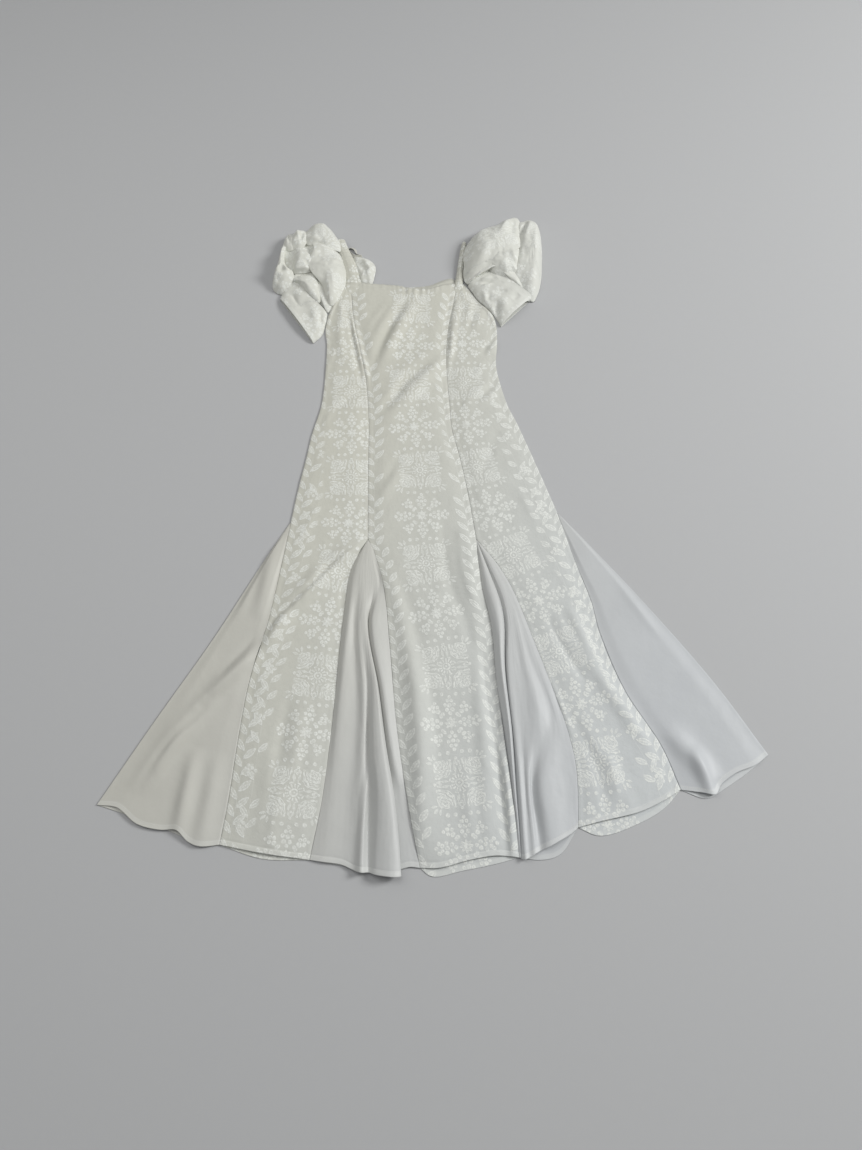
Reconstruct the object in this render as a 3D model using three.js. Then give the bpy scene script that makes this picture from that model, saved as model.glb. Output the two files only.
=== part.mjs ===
// A muumuu laid flat on its back: princess seams, six plain godets and puffed two-tier sleeves.
// Millimetres. The surface that it lies on is z = 0, the neck points to +Y, and left and right
// are as seen from the hem. The origin lies under the middle of the centre back, at the hip.
import * as THREE from 'three'

// Driving dimensions
const CLOTH = 1.2
const SEAM_GAP = 0.3
const LAYER_GAP = 0.3
const FRONT = CLOTH + LAYER_GAP
const ROWS_BELOW = 14
const ROWS_ABOVE = 14
const APEX = 0.5
const GODET_TOP = 0.965 * APEX
const PUFF_HEIGHT = 58
const PUFF_RIM = 2
const PUFF_STEPS = 72
const PUFF_RINGS = 8
const CUFF_STEPS = 24
const CUFF_ROWS = 6
const CUFF_OPENING = 3

// Seams, hem to top, each in a low part beside a godet and a top part. Columns: y, x.
// A side seam runs on along the armhole.
const PRINCESS_LEFT_TOP = [[26, -127], [118, -130], [210, -132], [291, -133], [370, -138],
  [424, -144], [507, -160], [594, -177], [700, -188]]
const PRINCESS_RIGHT_TOP = [[26, 91], [107, 80], [166, 71], [228, 59], [291, 45], [343, 41],
  [410, 37], [479, 34], [564, 39], [638, 51], [700, 62]]
const SEAMS = {
  sideLeft: {
    low: [[-567, -365], [-490, -357], [-365, -349], [-269, -339], [-169, -317], [-41, -298],
      [67, -285]],
    top: [[67, -285], [130, -277], [226, -262], [276, -255], [357, -238], [451, -234],
      [521, -235], [564, -240], [623, -231], [674, -212], [700, -198]],
  },
  sideRight: {
    low: [[-473, 442], [-392, 415], [-293, 361], [-179, 324], [-106, 311], [-24, 287], [88, 258]],
    top: [[88, 258], [186, 226], [307, 185], [349, 168], [413, 152], [462, 145], [521, 149],
      [572, 149], [608, 140], [647, 109], [683, 87], [703, 74]],
  },
  leftOuter: {
    low: [[-592, -208], [-490, -192], [-346, -180], [-210, -173], [-106, -166], [-52, -160],
      [-10, -146], [26, -127]],
    top: PRINCESS_LEFT_TOP,
  },
  leftInner: {
    low: [[-605, -19], [-499, -40], [-365, -62], [-210, -78], [-85, -92], [-1, -114], [26, -127]],
    top: PRINCESS_LEFT_TOP,
  },
  rightInner: {
    low: [[-588, 151], [-511, 146], [-390, 134], [-261, 122], [-161, 116], [-74, 100], [26, 91]],
    top: PRINCESS_RIGHT_TOP,
  },
  rightOuter: {
    low: [[-538, 256], [-441, 260], [-376, 251], [-295, 229], [-204, 200], [-93, 163], [-32, 133],
      [26, 91]],
    top: PRINCESS_RIGHT_TOP,
  },
}

// Free outer folds of the side godets, hem to top. Columns: y, x.
const OUTER_FOLDS = {
  left: [[-499, -588], [-346, -505], [-189, -417], [-19, -331], [67, -285]],
  right: [[-411, 608], [-269, 525], [-106, 410], [35, 301], [88, 258]],
}

// Points of the free edges between the seams, left to right. Columns: x, y.
const EDGES = {
  neckFront: [[-138, 696], [-73, 689], [-49, 680], [-2, 683], [38, 696]],
  neckBack: [[-120, 694], [-54, 690], [-2, 696], [21, 708], [40, 716], [53, 716]],
  hemCentre: [[15, -605], [67, -592], [113, -585]],
  hemSideLeft: [[-286, -582]],
  hemSideRight: [[295, -528], [367, -511], [419, -487]],
  hemGodetLeft: [[-552, -504], [-513, -532], [-472, -542], [-442, -543], [-420, -562],
    [-399, -570]],
  hemGodetRight: [[476, -478], [502, -482], [515, -464], [544, -444], [582, -429]],
  backHemCentre: [[2, -619], [53, -610], [113, -598]],
  backHemSideLeft: [[-290, -590]],
  backHemSideRight: [[293, -552], [365, -530], [410, -505]],
  backHemGodetLeft: [[-540, -514], [-470, -538], [-410, -560]],
  backHemGodetRight: [[487, -488], [520, -472], [570, -440]],
  backHemInsetLeft: [[-139, -602], [-60, -598]],
  backHemInsetRight: [[190, -592], [222, -583]],
}

// Soft ridges of the front. Columns: x and y where it starts, x and y where it ends,
// half width, height.
const RIDGES = [
  [-50, 660, -132, 470, 16, 7],
  [36, 530, -118, 318, 18, 8],
  [-62, 186, -124, 98, 16, 5],
  [124, 400, 66, 355, 11, 5],
  [150, 528, 128, 490, 9, 4],
  [62, 668, 36, 440, 7, 5],
  [-182, 600, -139, 405, 7, 5],
  [-128, 30, -205, -37, 15, 7],
  [-200, -30, -270, -125, 20, 9],
  [-262, -110, -325, -215, 16, 7],
  [-277, -400, -282, -590, 20, 6],
  [-322, -205, -425, -315, 18, 7],
  [-415, -300, -525, -475, 18, 7],
  [-308, 30, -334, -150, 14, 6],
  [-440, -575, -424, -400, 14, 8],
  [-398, -585, -382, -410, 13, 9],
  [262, -110, 312, -250, 12, 6],
  [305, -235, 402, -415, 14, 9],
  [424, -360, 510, -460, 18, 7],
  [500, -500, 470, -400, 12, 8],
  [-30, -190, -4, -600, 30, 8],
  [122, -290, 146, -600, 14, 6],
  [70, 60, 88, -120, 14, 5],
  [-84, 700, -84, 660, 6, 4],
  [-40, 695, -38, 650, 6, 5],
  [10, 696, 12, 655, 6, 4],
]

// Fold lines of the front godets, from the left seam to the right one. Columns: place across the
// opening at the hem, height above the back, how far the hem drops below the seams' ends.
const FRONT_FOLDS = {
  left: [
    [0, 0, 0], [0.1, 4, 2], [0.22, 7, 4], [0.34, 5, 4], [0.44, 2.5, 8], [0.51, 12, 20],
    [0.58, 4, 12], [0.65, 6, 14], [0.73, 17, 19], [0.81, 14, 18], [0.825, 8, 14],
    [0.78, 3.5, 8], [0.86, 2, 0], [0.93, 1, 0], [1, 0, 0],
  ],
  right: [
    [0, 0, 0], [0.05, 9, 8], [0.1, 14, 14], [0.15, 9, 16], [0.16, 4, 14], [0.24, 2, 8],
    [0.38, 5, 6], [0.52, 11, 6], [0.66, 8, 8], [0.8, 4, 8], [0.91, 3, 4], [1, 0, 0],
  ],
}

// Lobes of the upper sleeves. Columns: x, y, half length, half width, turn in degrees, height
// as a share of the puff's.
const LOBES = {
  left: [
    [-262, 832, 46, 30, -20, 0.75],
    [-234, 745, 62, 34, 68, 1],
    [-316, 826, 32, 18, -30, 0.7],
    [-344, 790, 44, 14, 75, 0.62],
    [-352, 705, 34, 16, 70, 0.66],
    [-305, 745, 34, 26, 0, 0.72],
    [-290, 690, 34, 24, -40, 0.78],
  ],
  right: [
    [142, 820, 70, 52, 18, 1],
    [112, 748, 46, 34, 30, 0.85],
    [176, 758, 40, 34, -40, 0.78],
    [240, 800, 98, 24, 90, 0.82],
    [228, 700, 46, 22, 80, 0.62],
  ],
}

// Seams between the upper sleeves and their lower tiers, left to right. Columns: x, y.
const TIER_SEAMS = {
  left: [[-343, 680], [-327, 700], [-308, 694], [-297, 680], [-287, 658], [-276, 645], [-259, 630],
    [-238, 606]],
  right: [[86, 690], [108, 708], [134, 724], [152, 713], [171, 703], [204, 676], [238, 652]],
}

// Outlines of the upper sleeves, from the right end of the tier seam to its left end, without
// the stretch along the armhole. Columns: x, y.
const PUFF_OUTLINES = {
  left: [[-199, 707], [-202, 740], [-209, 772], [-217, 802], [-222, 822], [-240, 848], [-270, 862],
    [-294, 846], [-306, 838], [-322, 846], [-336, 832], [-352, 826], [-358, 790], [-362, 741],
    [-371, 702], [-367, 682], [-358, 674], [-350, 680]],
  right: [[247, 656], [257, 690], [265, 740], [266, 825], [258, 862], [236, 872], [213, 864],
    [203, 878], [172, 868], [128, 858], [106, 842], [90, 826], [86, 805], [82, 775], [79, 740],
    [77, 706]],
}
const PUFF_CENTRES = { left: [-302, 746], right: [176, 782] }
const TIER_GAP = 1.8
const ARMHOLE_GAP = 1
const PUFF_FOOT = 610

// Lower sleeves: both side edges from the hem up to the tier seam, the hem between them and
// the heights at the hem and at the seam. Columns of the edges: x, y.
const CUFFS = {
  left: { left: [[-350, 652]], right: [[-266, 524], [-248, 546], [-241, 578]], heights: [12, 16] },
  right: {
    left: [[160, 572], [152.9, 589], [141.9, 609], [126.9, 628], [109.9, 648]],
    right: [[226, 646]],
    heights: [13, 22],
  },
}

// Neck casings of the sleeves: middle line and width. Columns: x, y, width, height.
const CASINGS = {
  left: [[-181, 702.7, 30, 5], [-187, 740, 26, 8], [-196, 772, 20, 10], [-206, 800, 15, 9],
    [-211, 820, 11, 6]],
  right: [[66, 703.9, 14, 5], [69, 740, 13, 8], [73, 775, 12, 9], [77, 805, 11, 8],
    [80, 828, 9, 6]],
}

const SLEEVE_BACK = [[-163, 699.6], [-150, 698.5], [-140, 697.5], [-133, 722], [-132, 749], [-150, 772],
  [-170, 779], [-183, 782], [-182, 768], [-172, 742], [-165, 720]]
const SLEEVE_BACK_CENTRE = [-153, 738]
const SLEEVE_BACK_HEIGHT = 16

const RIBBON_PATH = [[-200.8, 808], [-191, 812], [-183, 807], [-177, 793], [-165, 787], [-180, 785],
  [-190, 790], [-196, 799]]
const RIBBON_HEIGHT = 8
const RIBBON_THICKNESS = 1

const SATIN = 0xc9cbc7
const PRINT = 0xd2d3cb

const lerp = (a, b, t) => a + (b - a) * t
const mix = (p, q, t) => p.map((value, i) => lerp(value, q[i], t))
const smooth = (t) => t * t * (3 - 2 * t)
const clamp = (value, low, high) => Math.min(high, Math.max(low, value))
const radians = (degrees) => degrees * Math.PI / 180

// Value of a table's second column at a place in its first one, on a smooth curve.
function onTable(table, place) {
  const last = table.length - 1
  let i = 0
  while (i < last - 1 && place > table[i + 1][0]) i += 1
  const slope = (k) => {
    const before = table[Math.max(k - 1, 0)]
    const after = table[Math.min(k + 1, last)]
    return (after[1] - before[1]) / (after[0] - before[0])
  }
  const [x0, y0] = table[i]
  const [x1, y1] = table[i + 1]
  const step = x1 - x0
  const t = (place - x0) / step
  const bend0 = slope(i) * step
  const bend1 = slope(i + 1) * step
  return y0 + t * (bend0 + t * (3 * (y1 - y0) - 2 * bend0 - bend1
    + t * (2 * (y0 - y1) + bend0 + bend1)))
}

// Plan point on a smooth curve through the rows of a table, t from 0 to 1, evenly by length.
function along(rows, closed = false) {
  const points = rows.map(([x, y]) => new THREE.Vector3(x, y, 0))
  const curve = new THREE.CatmullRomCurve3(points, closed, 'centripetal')
  return (t) => curve.getPointAt(clamp(t, 0, 1)).toArray().slice(0, 2)
}

// Point on a smooth curve through the rows of a table, t from 0 to 1, evenly by row.
function byRow(rows) {
  const points = rows.map(([x, y, z = 0]) => new THREE.Vector3(x, y, z))
  const curve = new THREE.CatmullRomCurve3(points, false, 'catmullrom', 0.5)
  return (t) => curve.getPoint(clamp(t, 0, 1)).toArray()
}

// The points of a table moved to the left of their own direction.
function beside(rows, gap) {
  return rows.map(([x, y], i) => {
    const [before, after] = [rows[Math.max(i - 1, 0)], rows[Math.min(i + 1, rows.length - 1)]]
    const [dx, dy] = [after[0] - before[0], after[1] - before[1]]
    const share = gap / Math.hypot(dx, dy)
    return [x - dy * share, y + dx * share]
  })
}

// Place on a seam, v from 0 at the hem to 1 at the top, with APEX at the top of its godet.
function seamPoint(seam, v) {
  const table = v < APEX ? seam.low : seam.top
  const share = v < APEX ? v / APEX : (v - APEX) / (1 - APEX)
  const y = lerp(table[0][0], table[table.length - 1][0], share)
  return [onTable(table, y), y]
}

// A seam moved half a seam gap to one side: side is 1 towards +X and -1 towards -X.
function besideSeam(seam, side) {
  return (v) => {
    const [x, y] = seamPoint(seam, v)
    const from = seamPoint(seam, Math.max(v - 0.01, 0))
    const to = seamPoint(seam, Math.min(v + 0.01, 1))
    const widening = Math.hypot(to[0] - from[0], to[1] - from[1]) / Math.abs(to[1] - from[1])
    return [x + side * SEAM_GAP / 2 * widening, y]
  }
}

// Plan of a panel between its left and right seams, its hem and its top edge.
function patch({ left, right, hem = [], top = [], topRow = 1 }) {
  const hemCurve = along([left(0), ...hem, right(0)])
  const topCurve = along([left(topRow), ...top, right(topRow)])
  return (u, v) => {
    const sides = mix(left(v), right(v), u)
    const hemPull = mix(left(0), right(0), u).map((value, i) => hemCurve(u)[i] - value)
    const topPull = mix(left(topRow), right(topRow), u).map((value, i) => topCurve(u)[i] - value)
    const rise = v / topRow
    return sides.map((value, i) => value + (1 - rise) * hemPull[i] + rise * topPull[i])
  }
}

// Height of the front's soft ridges at a place in the plan.
function frontLift(x, y) {
  let lift = 0
  for (const [x0, y0, x1, y1, halfWidth, height] of RIDGES) {
    const [dx, dy] = [x1 - x0, y1 - y0]
    const t = clamp(((x - x0) * dx + (y - y0) * dy) / (dx * dx + dy * dy), 0, 1)
    const away = Math.hypot(x - x0 - t * dx, y - y0 - t * dy) / halfWidth
    lift += height * Math.sin(Math.PI * t) ** 0.7 * Math.exp(-away * away)
  }
  return lift
}

// Closed skin between an outer and an inner grid of points, both indexed [row][column].
function wall(outer, inner) {
  const [rows, columns] = [outer.length, outer[0].length]
  const positions = [...outer.flat(), ...inner.flat()].flat()
  const at = (side, r, c) => side * rows * columns + r * columns + c
  const faces = []
  const quad = (a, b, c, d) => faces.push(a, b, c, a, c, d)
  for (let r = 0; r < rows - 1; r += 1) {
    for (let c = 0; c < columns - 1; c += 1) {
      quad(at(0, r, c), at(0, r, c + 1), at(0, r + 1, c + 1), at(0, r + 1, c))
      quad(at(1, r, c), at(1, r + 1, c), at(1, r + 1, c + 1), at(1, r, c + 1))
    }
    quad(at(0, r, 0), at(0, r + 1, 0), at(1, r + 1, 0), at(1, r, 0))
    const end = columns - 1
    quad(at(0, r, end), at(1, r, end), at(1, r + 1, end), at(0, r + 1, end))
  }
  for (let c = 0; c < columns - 1; c += 1) {
    quad(at(0, 0, c), at(1, 0, c), at(1, 0, c + 1), at(0, 0, c + 1))
    const end = rows - 1
    quad(at(0, end, c), at(0, end, c + 1), at(1, end, c + 1), at(1, end, c))
  }
  return geometry(positions, faces)
}

function geometry(positions, faces) {
  const built = new THREE.BufferGeometry()
  built.setAttribute('position', new THREE.Float32BufferAttribute(positions, 3))
  built.setIndex(faces)
  built.computeVertexNormals()
  return built
}

// Shares from 0 to 1 in even steps, both ends among them.
const shares = (steps) => Array.from({ length: steps + 1 }, (_, k) => k / steps)

// Rows that neighbouring panels share: up the godets' openings, then on to the top.
const GODET_ROWS = shares(ROWS_BELOW).map((share) => share * GODET_TOP)
const PANEL_ROWS = [...GODET_ROWS, ...shares(ROWS_ABOVE).map((share) => lerp(APEX, 1, share))]

const grid = (rows, columns, point) =>
  rows.map((v) => shares(columns).map((u) => point(u, v)))

// A panel of the front, raised by the soft ridges.
function frontPanel(plan, columns) {
  const layer = (height) => grid(PANEL_ROWS, columns, (u, v) => {
    const [x, y] = plan(u, v)
    return [x, y, height + frontLift(x, y)]
  })
  return wall(layer(FRONT + CLOTH), layer(FRONT))
}

// A panel of the back, flat on the surface.
function backPanel(plan, columns, rows = PANEL_ROWS) {
  const layer = (height) => grid(rows, columns, (u, v) => [...plan(u, v), height])
  return wall(layer(CLOTH), layer(0))
}

// A godet in a front seam, with folds that fan out from the top of the opening to the hem.
function frontGodet(leftSeam, rightSeam, folds) {
  const left = besideSeam(leftSeam, 1)
  const right = besideSeam(rightSeam, -1)
  const section = byRow(folds)
  const columns = Math.round(1.5 * (folds.length - 1))
  const mid = (u, v) => {
    const open = 1 - v / APEX
    const [place, height, drop] = section(u)
    const across = lerp(u, place, smooth(clamp(open * 2.5, 0, 1)))
    const [x, y] = mix(left(v), right(v), across)
    return new THREE.Vector3(x, y - drop * open ** 8,
      FRONT + CLOTH / 2 + Math.max(0, height) * open ** 0.6)
  }
  const layer = (side) => grid(GODET_ROWS, columns, (u, v) => {
    const step = 0.004
    const across = mid(Math.min(u + step, 1), v).sub(mid(Math.max(u - step, 0), v))
    const up = mid(u, v + step).sub(mid(u, Math.max(v - step, 0)))
    const facing = across.cross(up).normalize()
    const edge = smooth(clamp(Math.min(u, 1 - u) * columns / 1.5, 0, 1))
    const direction = new THREE.Vector3(0, 0, 1).lerp(facing, edge).normalize()
    return mid(u, v).addScaledVector(direction, side * CLOTH / 2).toArray()
  })
  return wall(layer(1), layer(-1))
}

// A godet in a side seam: its front half, the fold along its outer edge and its back half.
function sideGodet(seam, outerFold, frontHem, backHem, side) {
  const inner = besideSeam(seam, side)
  const topY = outerFold[outerFold.length - 1][0]
  const outer = (v) => {
    const y = lerp(outerFold[0][0], topY, v / APEX)
    return [onTable(outerFold, y), y]
  }
  const plans = [frontHem, backHem].map((hem) =>
    patch({ left: inner, right: outer, hem, topRow: GODET_TOP }))
  const turnRadius = CLOTH + LAYER_GAP / 2
  const fadeToFold = (s) => 1 - smooth(clamp((s - 0.8) / 0.2, 0, 1))
  const steps = 9
  const turn = [60, 0, -60]
  const rowPoints = (v, radius, frontHeight, backHeight) => {
    const points = []
    const edge = outer(v)
    const away = mix(inner(v), edge, 1).map((value, i) => value - inner(v)[i])
    const reach = Math.hypot(...away)
    const out = away.map((value) => value / reach)
    const held = (plan, s) => {
      const [x, y] = plan(s, v)
      return [x - out[0] * turnRadius * s, y - out[1] * turnRadius * s]
    }
    for (let k = 0; k <= steps; k += 1) {
      const [x, y] = held(plans[0], k / steps)
      points.push([x, y, frontHeight + frontLift(x, y) * fadeToFold(k / steps)])
    }
    for (const angle of turn) {
      const reachOut = radius * Math.cos(radians(angle))
      const [x, y] = held(plans[0], 1)
      points.push([x + out[0] * reachOut, y + out[1] * reachOut,
        turnRadius + radius * Math.sin(radians(angle))])
    }
    for (let k = steps; k >= 0; k -= 1) points.push([...held(plans[1], k / steps), backHeight])
    return points
  }
  const layer = (radius, frontHeight, backHeight) =>
    GODET_ROWS.map((v) => rowPoints(v, radius, frontHeight, backHeight))
  const skin = layer(turnRadius, FRONT + CLOTH, 0)
  const lining = layer(LAYER_GAP / 2, FRONT, CLOTH)
  return side > 0 ? wall(skin, lining) : wall(lining, skin)
}

// A heap of cloth with a flat underside: rings of points from its centre to its outline.
function heap(outline, centre, steps, rings, height) {
  const clockwise = THREE.ShapeUtils.isClockWise(outline.map(([x, y]) => ({ x, y })))
  const edge = along(clockwise ? [...outline].reverse() : outline, true)
  const positions = [...centre, height(...centre), ...centre, 0]
  for (let ring = 1; ring <= rings; ring += 1) {
    for (let k = 0; k < steps; k += 1) {
      const share = Math.sin(ring / rings * Math.PI / 2)
      const [x, y] = mix(centre, edge(k / steps), share)
      positions.push(x, y, ring === rings ? PUFF_RIM : Math.max(PUFF_RIM, height(x, y, share)))
    }
  }
  for (let k = 0; k < steps; k += 1) positions.push(...edge(k / steps), 0)
  const faces = []
  const at = (ring, k) => 2 + (ring - 1) * steps + k % steps
  for (let k = 0; k < steps; k += 1) {
    faces.push(0, at(1, k), at(1, k + 1))
    for (let ring = 1; ring <= rings; ring += 1) {
      faces.push(at(ring, k), at(ring + 1, k), at(ring + 1, k + 1))
      faces.push(at(ring, k), at(ring + 1, k + 1), at(ring, k + 1))
    }
    faces.push(1, at(rings + 1, k + 1), at(rings + 1, k))
  }
  return geometry(positions, faces)
}

// Height of an upper sleeve: the highest of its lobes, falling to its edge.
function puffHeight(lobes) {
  return (x, y, share = 0) => {
    let highest = 0.3
    for (const [cx, cy, halfLength, halfWidth, turn, tall] of lobes) {
      const [c, s] = [Math.cos(radians(turn)), Math.sin(radians(turn))]
      const a = ((x - cx) * c + (y - cy) * s) / halfLength
      const b = (-(x - cx) * s + (y - cy) * c) / halfWidth
      highest = Math.max(highest, tall * Math.exp(-0.6 * (a * a + b * b)))
    }
    return PUFF_HEIGHT * highest * Math.sqrt(Math.max(0, 1 - share ** 4))
  }
}

// A lower sleeve: a flattened tube, open at its hem and at its seam, whose front holds the
// gathers that lie under it.
function cuff({ left, right, heights }, seam) {
  const plan = patch({
    left: along([...left, seam[0]]),
    right: along([...right, seam[seam.length - 1]]),
    top: seam.slice(1, -1),
  })
  const loop = (v, inset) => {
    const [a, b] = [plan(0, v), plan(1, v)]
    const span = Math.hypot(b[0] - a[0], b[1] - a[1])
    return Array.from({ length: CUFF_STEPS }, (_, k) => {
      const angle = 2 * Math.PI * k / CUFF_STEPS
      const s = 0.5 - (0.5 - inset / span) * Math.cos(angle)
      const rise = Math.sin(angle)
      const top = inset ? CLOTH + CUFF_OPENING : lerp(...heights, v)
      return [...plan(s, v), rise > 0 ? lerp(CLOTH, top, rise ** 0.8) : lerp(CLOTH, inset, -rise)]
    })
  }
  const rows = shares(CUFF_ROWS)
  const positions = [0, CLOTH].flatMap((inset) => rows.map((v) => loop(v, inset))).flat(2)
  const at = (side, r, k) => (side * rows.length + r) * CUFF_STEPS + k % CUFF_STEPS
  const faces = []
  const quad = (a, b, c, d) => faces.push(a, b, c, a, c, d)
  for (let k = 0; k < CUFF_STEPS; k += 1) {
    for (let r = 0; r < CUFF_ROWS; r += 1) {
      quad(at(0, r, k), at(0, r, k + 1), at(0, r + 1, k + 1), at(0, r + 1, k))
      quad(at(1, r, k), at(1, r + 1, k), at(1, r + 1, k + 1), at(1, r, k + 1))
    }
    quad(at(0, 0, k), at(1, 0, k), at(1, 0, k + 1), at(0, 0, k + 1))
    quad(at(0, CUFF_ROWS, k), at(0, CUFF_ROWS, k + 1), at(1, CUFF_ROWS, k + 1),
      at(1, CUFF_ROWS, k))
  }
  return geometry(positions, faces)
}

// A strip that lies along a line and is arched across its width.
function arched(rows) {
  const line = along(rows.map(([x, y]) => [x, y]))
  const sizes = byRow(rows.map(([, , width, height]) => [width, height]))
  const columns = 4
  const layer = (top) => grid(shares(10), columns, (u, v) => {
    const [x, y] = line(v)
    const ahead = line(Math.min(v + 0.02, 1))
    const behind = line(Math.max(v - 0.02, 0))
    const length = Math.hypot(ahead[0] - behind[0], ahead[1] - behind[1])
    const [width, height] = sizes(v)
    const off = (u - 0.5) * width / length
    const arch = top ? Math.max(CLOTH, height * Math.sin(Math.PI * u)) : 0
    return [x + (ahead[1] - behind[1]) * off, y - (ahead[0] - behind[0]) * off, arch]
  })
  return wall(layer(true), layer(false))
}

// A narrow ribbon that stands on its edge and curls back beside its start.
function ribbon(rows) {
  const line = along(rows)
  const layer = (side) => grid(shares(28), 1, (u, v) => {
    const [x, y] = line(v)
    const ahead = line(Math.min(v + 0.01, 1))
    const behind = line(Math.max(v - 0.01, 0))
    const length = Math.hypot(ahead[0] - behind[0], ahead[1] - behind[1])
    const off = side * RIBBON_THICKNESS / 2 / length
    return [x + (ahead[1] - behind[1]) * off, y - (ahead[0] - behind[0]) * off,
      u * RIBBON_HEIGHT]
  })
  return wall(layer(-1), layer(1))
}

const muumuu = new THREE.Group()

function sew(name, shape, color, roughness) {
  const material = new THREE.MeshStandardMaterial({ color, roughness, metalness: 0 })
  const mesh = new THREE.Mesh(shape, material)
  mesh.name = name
  muumuu.add(mesh)
}

// A panel's plan between two named seams.
const between = (left, right, hem, top, topRow = 1) => patch({
  left: besideSeam(SEAMS[left], 1),
  right: besideSeam(SEAMS[right], -1),
  hem,
  top,
  topRow,
})

const printed = (name, shape) => sew(name, shape, PRINT, 0.62)
const satin = (name, shape) => sew(name, shape, SATIN, 0.5)

printed('back_centre',
  backPanel(between('leftInner', 'rightInner', EDGES.backHemCentre, EDGES.neckBack), 4))
printed('back_side_left',
  backPanel(between('sideLeft', 'leftOuter', EDGES.backHemSideLeft), 5))
printed('back_side_right',
  backPanel(between('rightOuter', 'sideRight', EDGES.backHemSideRight), 7))
satin('godet_back_left', backPanel(between('leftOuter', 'leftInner',
  EDGES.backHemInsetLeft, [], GODET_TOP), 4, GODET_ROWS))
satin('godet_back_right', backPanel(between('rightInner', 'rightOuter',
  EDGES.backHemInsetRight, [], GODET_TOP), 4, GODET_ROWS))

printed('front_centre',
  frontPanel(between('leftInner', 'rightInner', EDGES.hemCentre, EDGES.neckFront), 10))
printed('front_side_left',
  frontPanel(between('sideLeft', 'leftOuter', EDGES.hemSideLeft), 7))
printed('front_side_right',
  frontPanel(between('rightOuter', 'sideRight', EDGES.hemSideRight), 7))
satin('godet_front_left', frontGodet(SEAMS.leftOuter, SEAMS.leftInner, FRONT_FOLDS.left))
satin('godet_front_right', frontGodet(SEAMS.rightInner, SEAMS.rightOuter, FRONT_FOLDS.right))
satin('godet_side_left', sideGodet(SEAMS.sideLeft, OUTER_FOLDS.left,
  [...EDGES.hemGodetLeft].reverse(), [...EDGES.backHemGodetLeft].reverse(), -1))
satin('godet_side_right', sideGodet(SEAMS.sideRight, OUTER_FOLDS.right,
  EDGES.hemGodetRight, EDGES.backHemGodetRight, 1))

const armhole = SEAMS.sideLeft.top.filter(([y]) => y > PUFF_FOOT).map(([y, x]) => [x, y])
const ARMHOLE_STRETCH = { left: beside(armhole, ARMHOLE_GAP), right: [] }
for (const side of ['left', 'right']) {
  const outline = [...ARMHOLE_STRETCH[side], ...PUFF_OUTLINES[side],
    ...beside(TIER_SEAMS[side], TIER_GAP)]
  printed(`sleeve_upper_${side}`, heap(outline, PUFF_CENTRES[side], PUFF_STEPS, PUFF_RINGS,
    puffHeight(LOBES[side])))
  printed(`sleeve_lower_${side}`, cuff(CUFFS[side], TIER_SEAMS[side]))
  printed(`neck_casing_${side}`, arched(CASINGS[side]))
}
printed('sleeve_back_left', heap(SLEEVE_BACK, SLEEVE_BACK_CENTRE, 24, 4,
  (x, y, share = 0) => SLEEVE_BACK_HEIGHT * Math.sqrt(Math.max(0, 1 - share ** 4))))
satin('ribbon_loop_left', ribbon(RIBBON_PATH))

export default muumuu
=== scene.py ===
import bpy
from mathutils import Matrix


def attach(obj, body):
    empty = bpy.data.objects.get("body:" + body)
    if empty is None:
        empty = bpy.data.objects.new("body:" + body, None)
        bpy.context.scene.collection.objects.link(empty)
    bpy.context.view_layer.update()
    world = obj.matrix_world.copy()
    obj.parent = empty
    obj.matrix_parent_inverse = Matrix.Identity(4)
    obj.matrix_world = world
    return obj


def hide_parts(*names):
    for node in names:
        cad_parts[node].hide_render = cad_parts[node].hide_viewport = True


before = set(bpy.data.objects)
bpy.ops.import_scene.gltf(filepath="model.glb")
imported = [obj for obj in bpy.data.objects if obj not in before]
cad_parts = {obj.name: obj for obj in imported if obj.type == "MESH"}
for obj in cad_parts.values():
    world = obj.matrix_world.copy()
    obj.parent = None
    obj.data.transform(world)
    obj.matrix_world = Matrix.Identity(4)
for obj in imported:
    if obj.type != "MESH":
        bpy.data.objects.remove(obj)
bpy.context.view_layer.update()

import math

import bmesh
import bpy
import numpy as np
from mathutils import Vector, noise

bl_info = {
    "name": "Muumuu Laid Flat",
    "version": (1, 0, 0),
    "blender": (4, 5, 0),
    "location": "3D View > Sidebar > Muumuu",
    "description": "Makes the cloth, seams, stitches and print of a long muumuu that lies on its back",
    "category": "Add Mesh",
}

# Tables and sizes here are in millimetres, in the frame's own axes, and become metres in the meshes.
MM = 0.001
BODY = "root"

# Points closer than this, in metres, are one.
SAME_POINT = 1e-6

# Cloth and layers
CLOTH = 1.2
SEAM_GAP = 0.3
LAYER_GAP = 0.3
FRONT = CLOTH + LAYER_GAP
SLEEVE_CLOTH = 0.8
APEX = 0.5
GODET_TOP = 0.965 * APEX
GODET_POINT = 0.997 * APEX
PANEL_LENGTH = 1250

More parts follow.
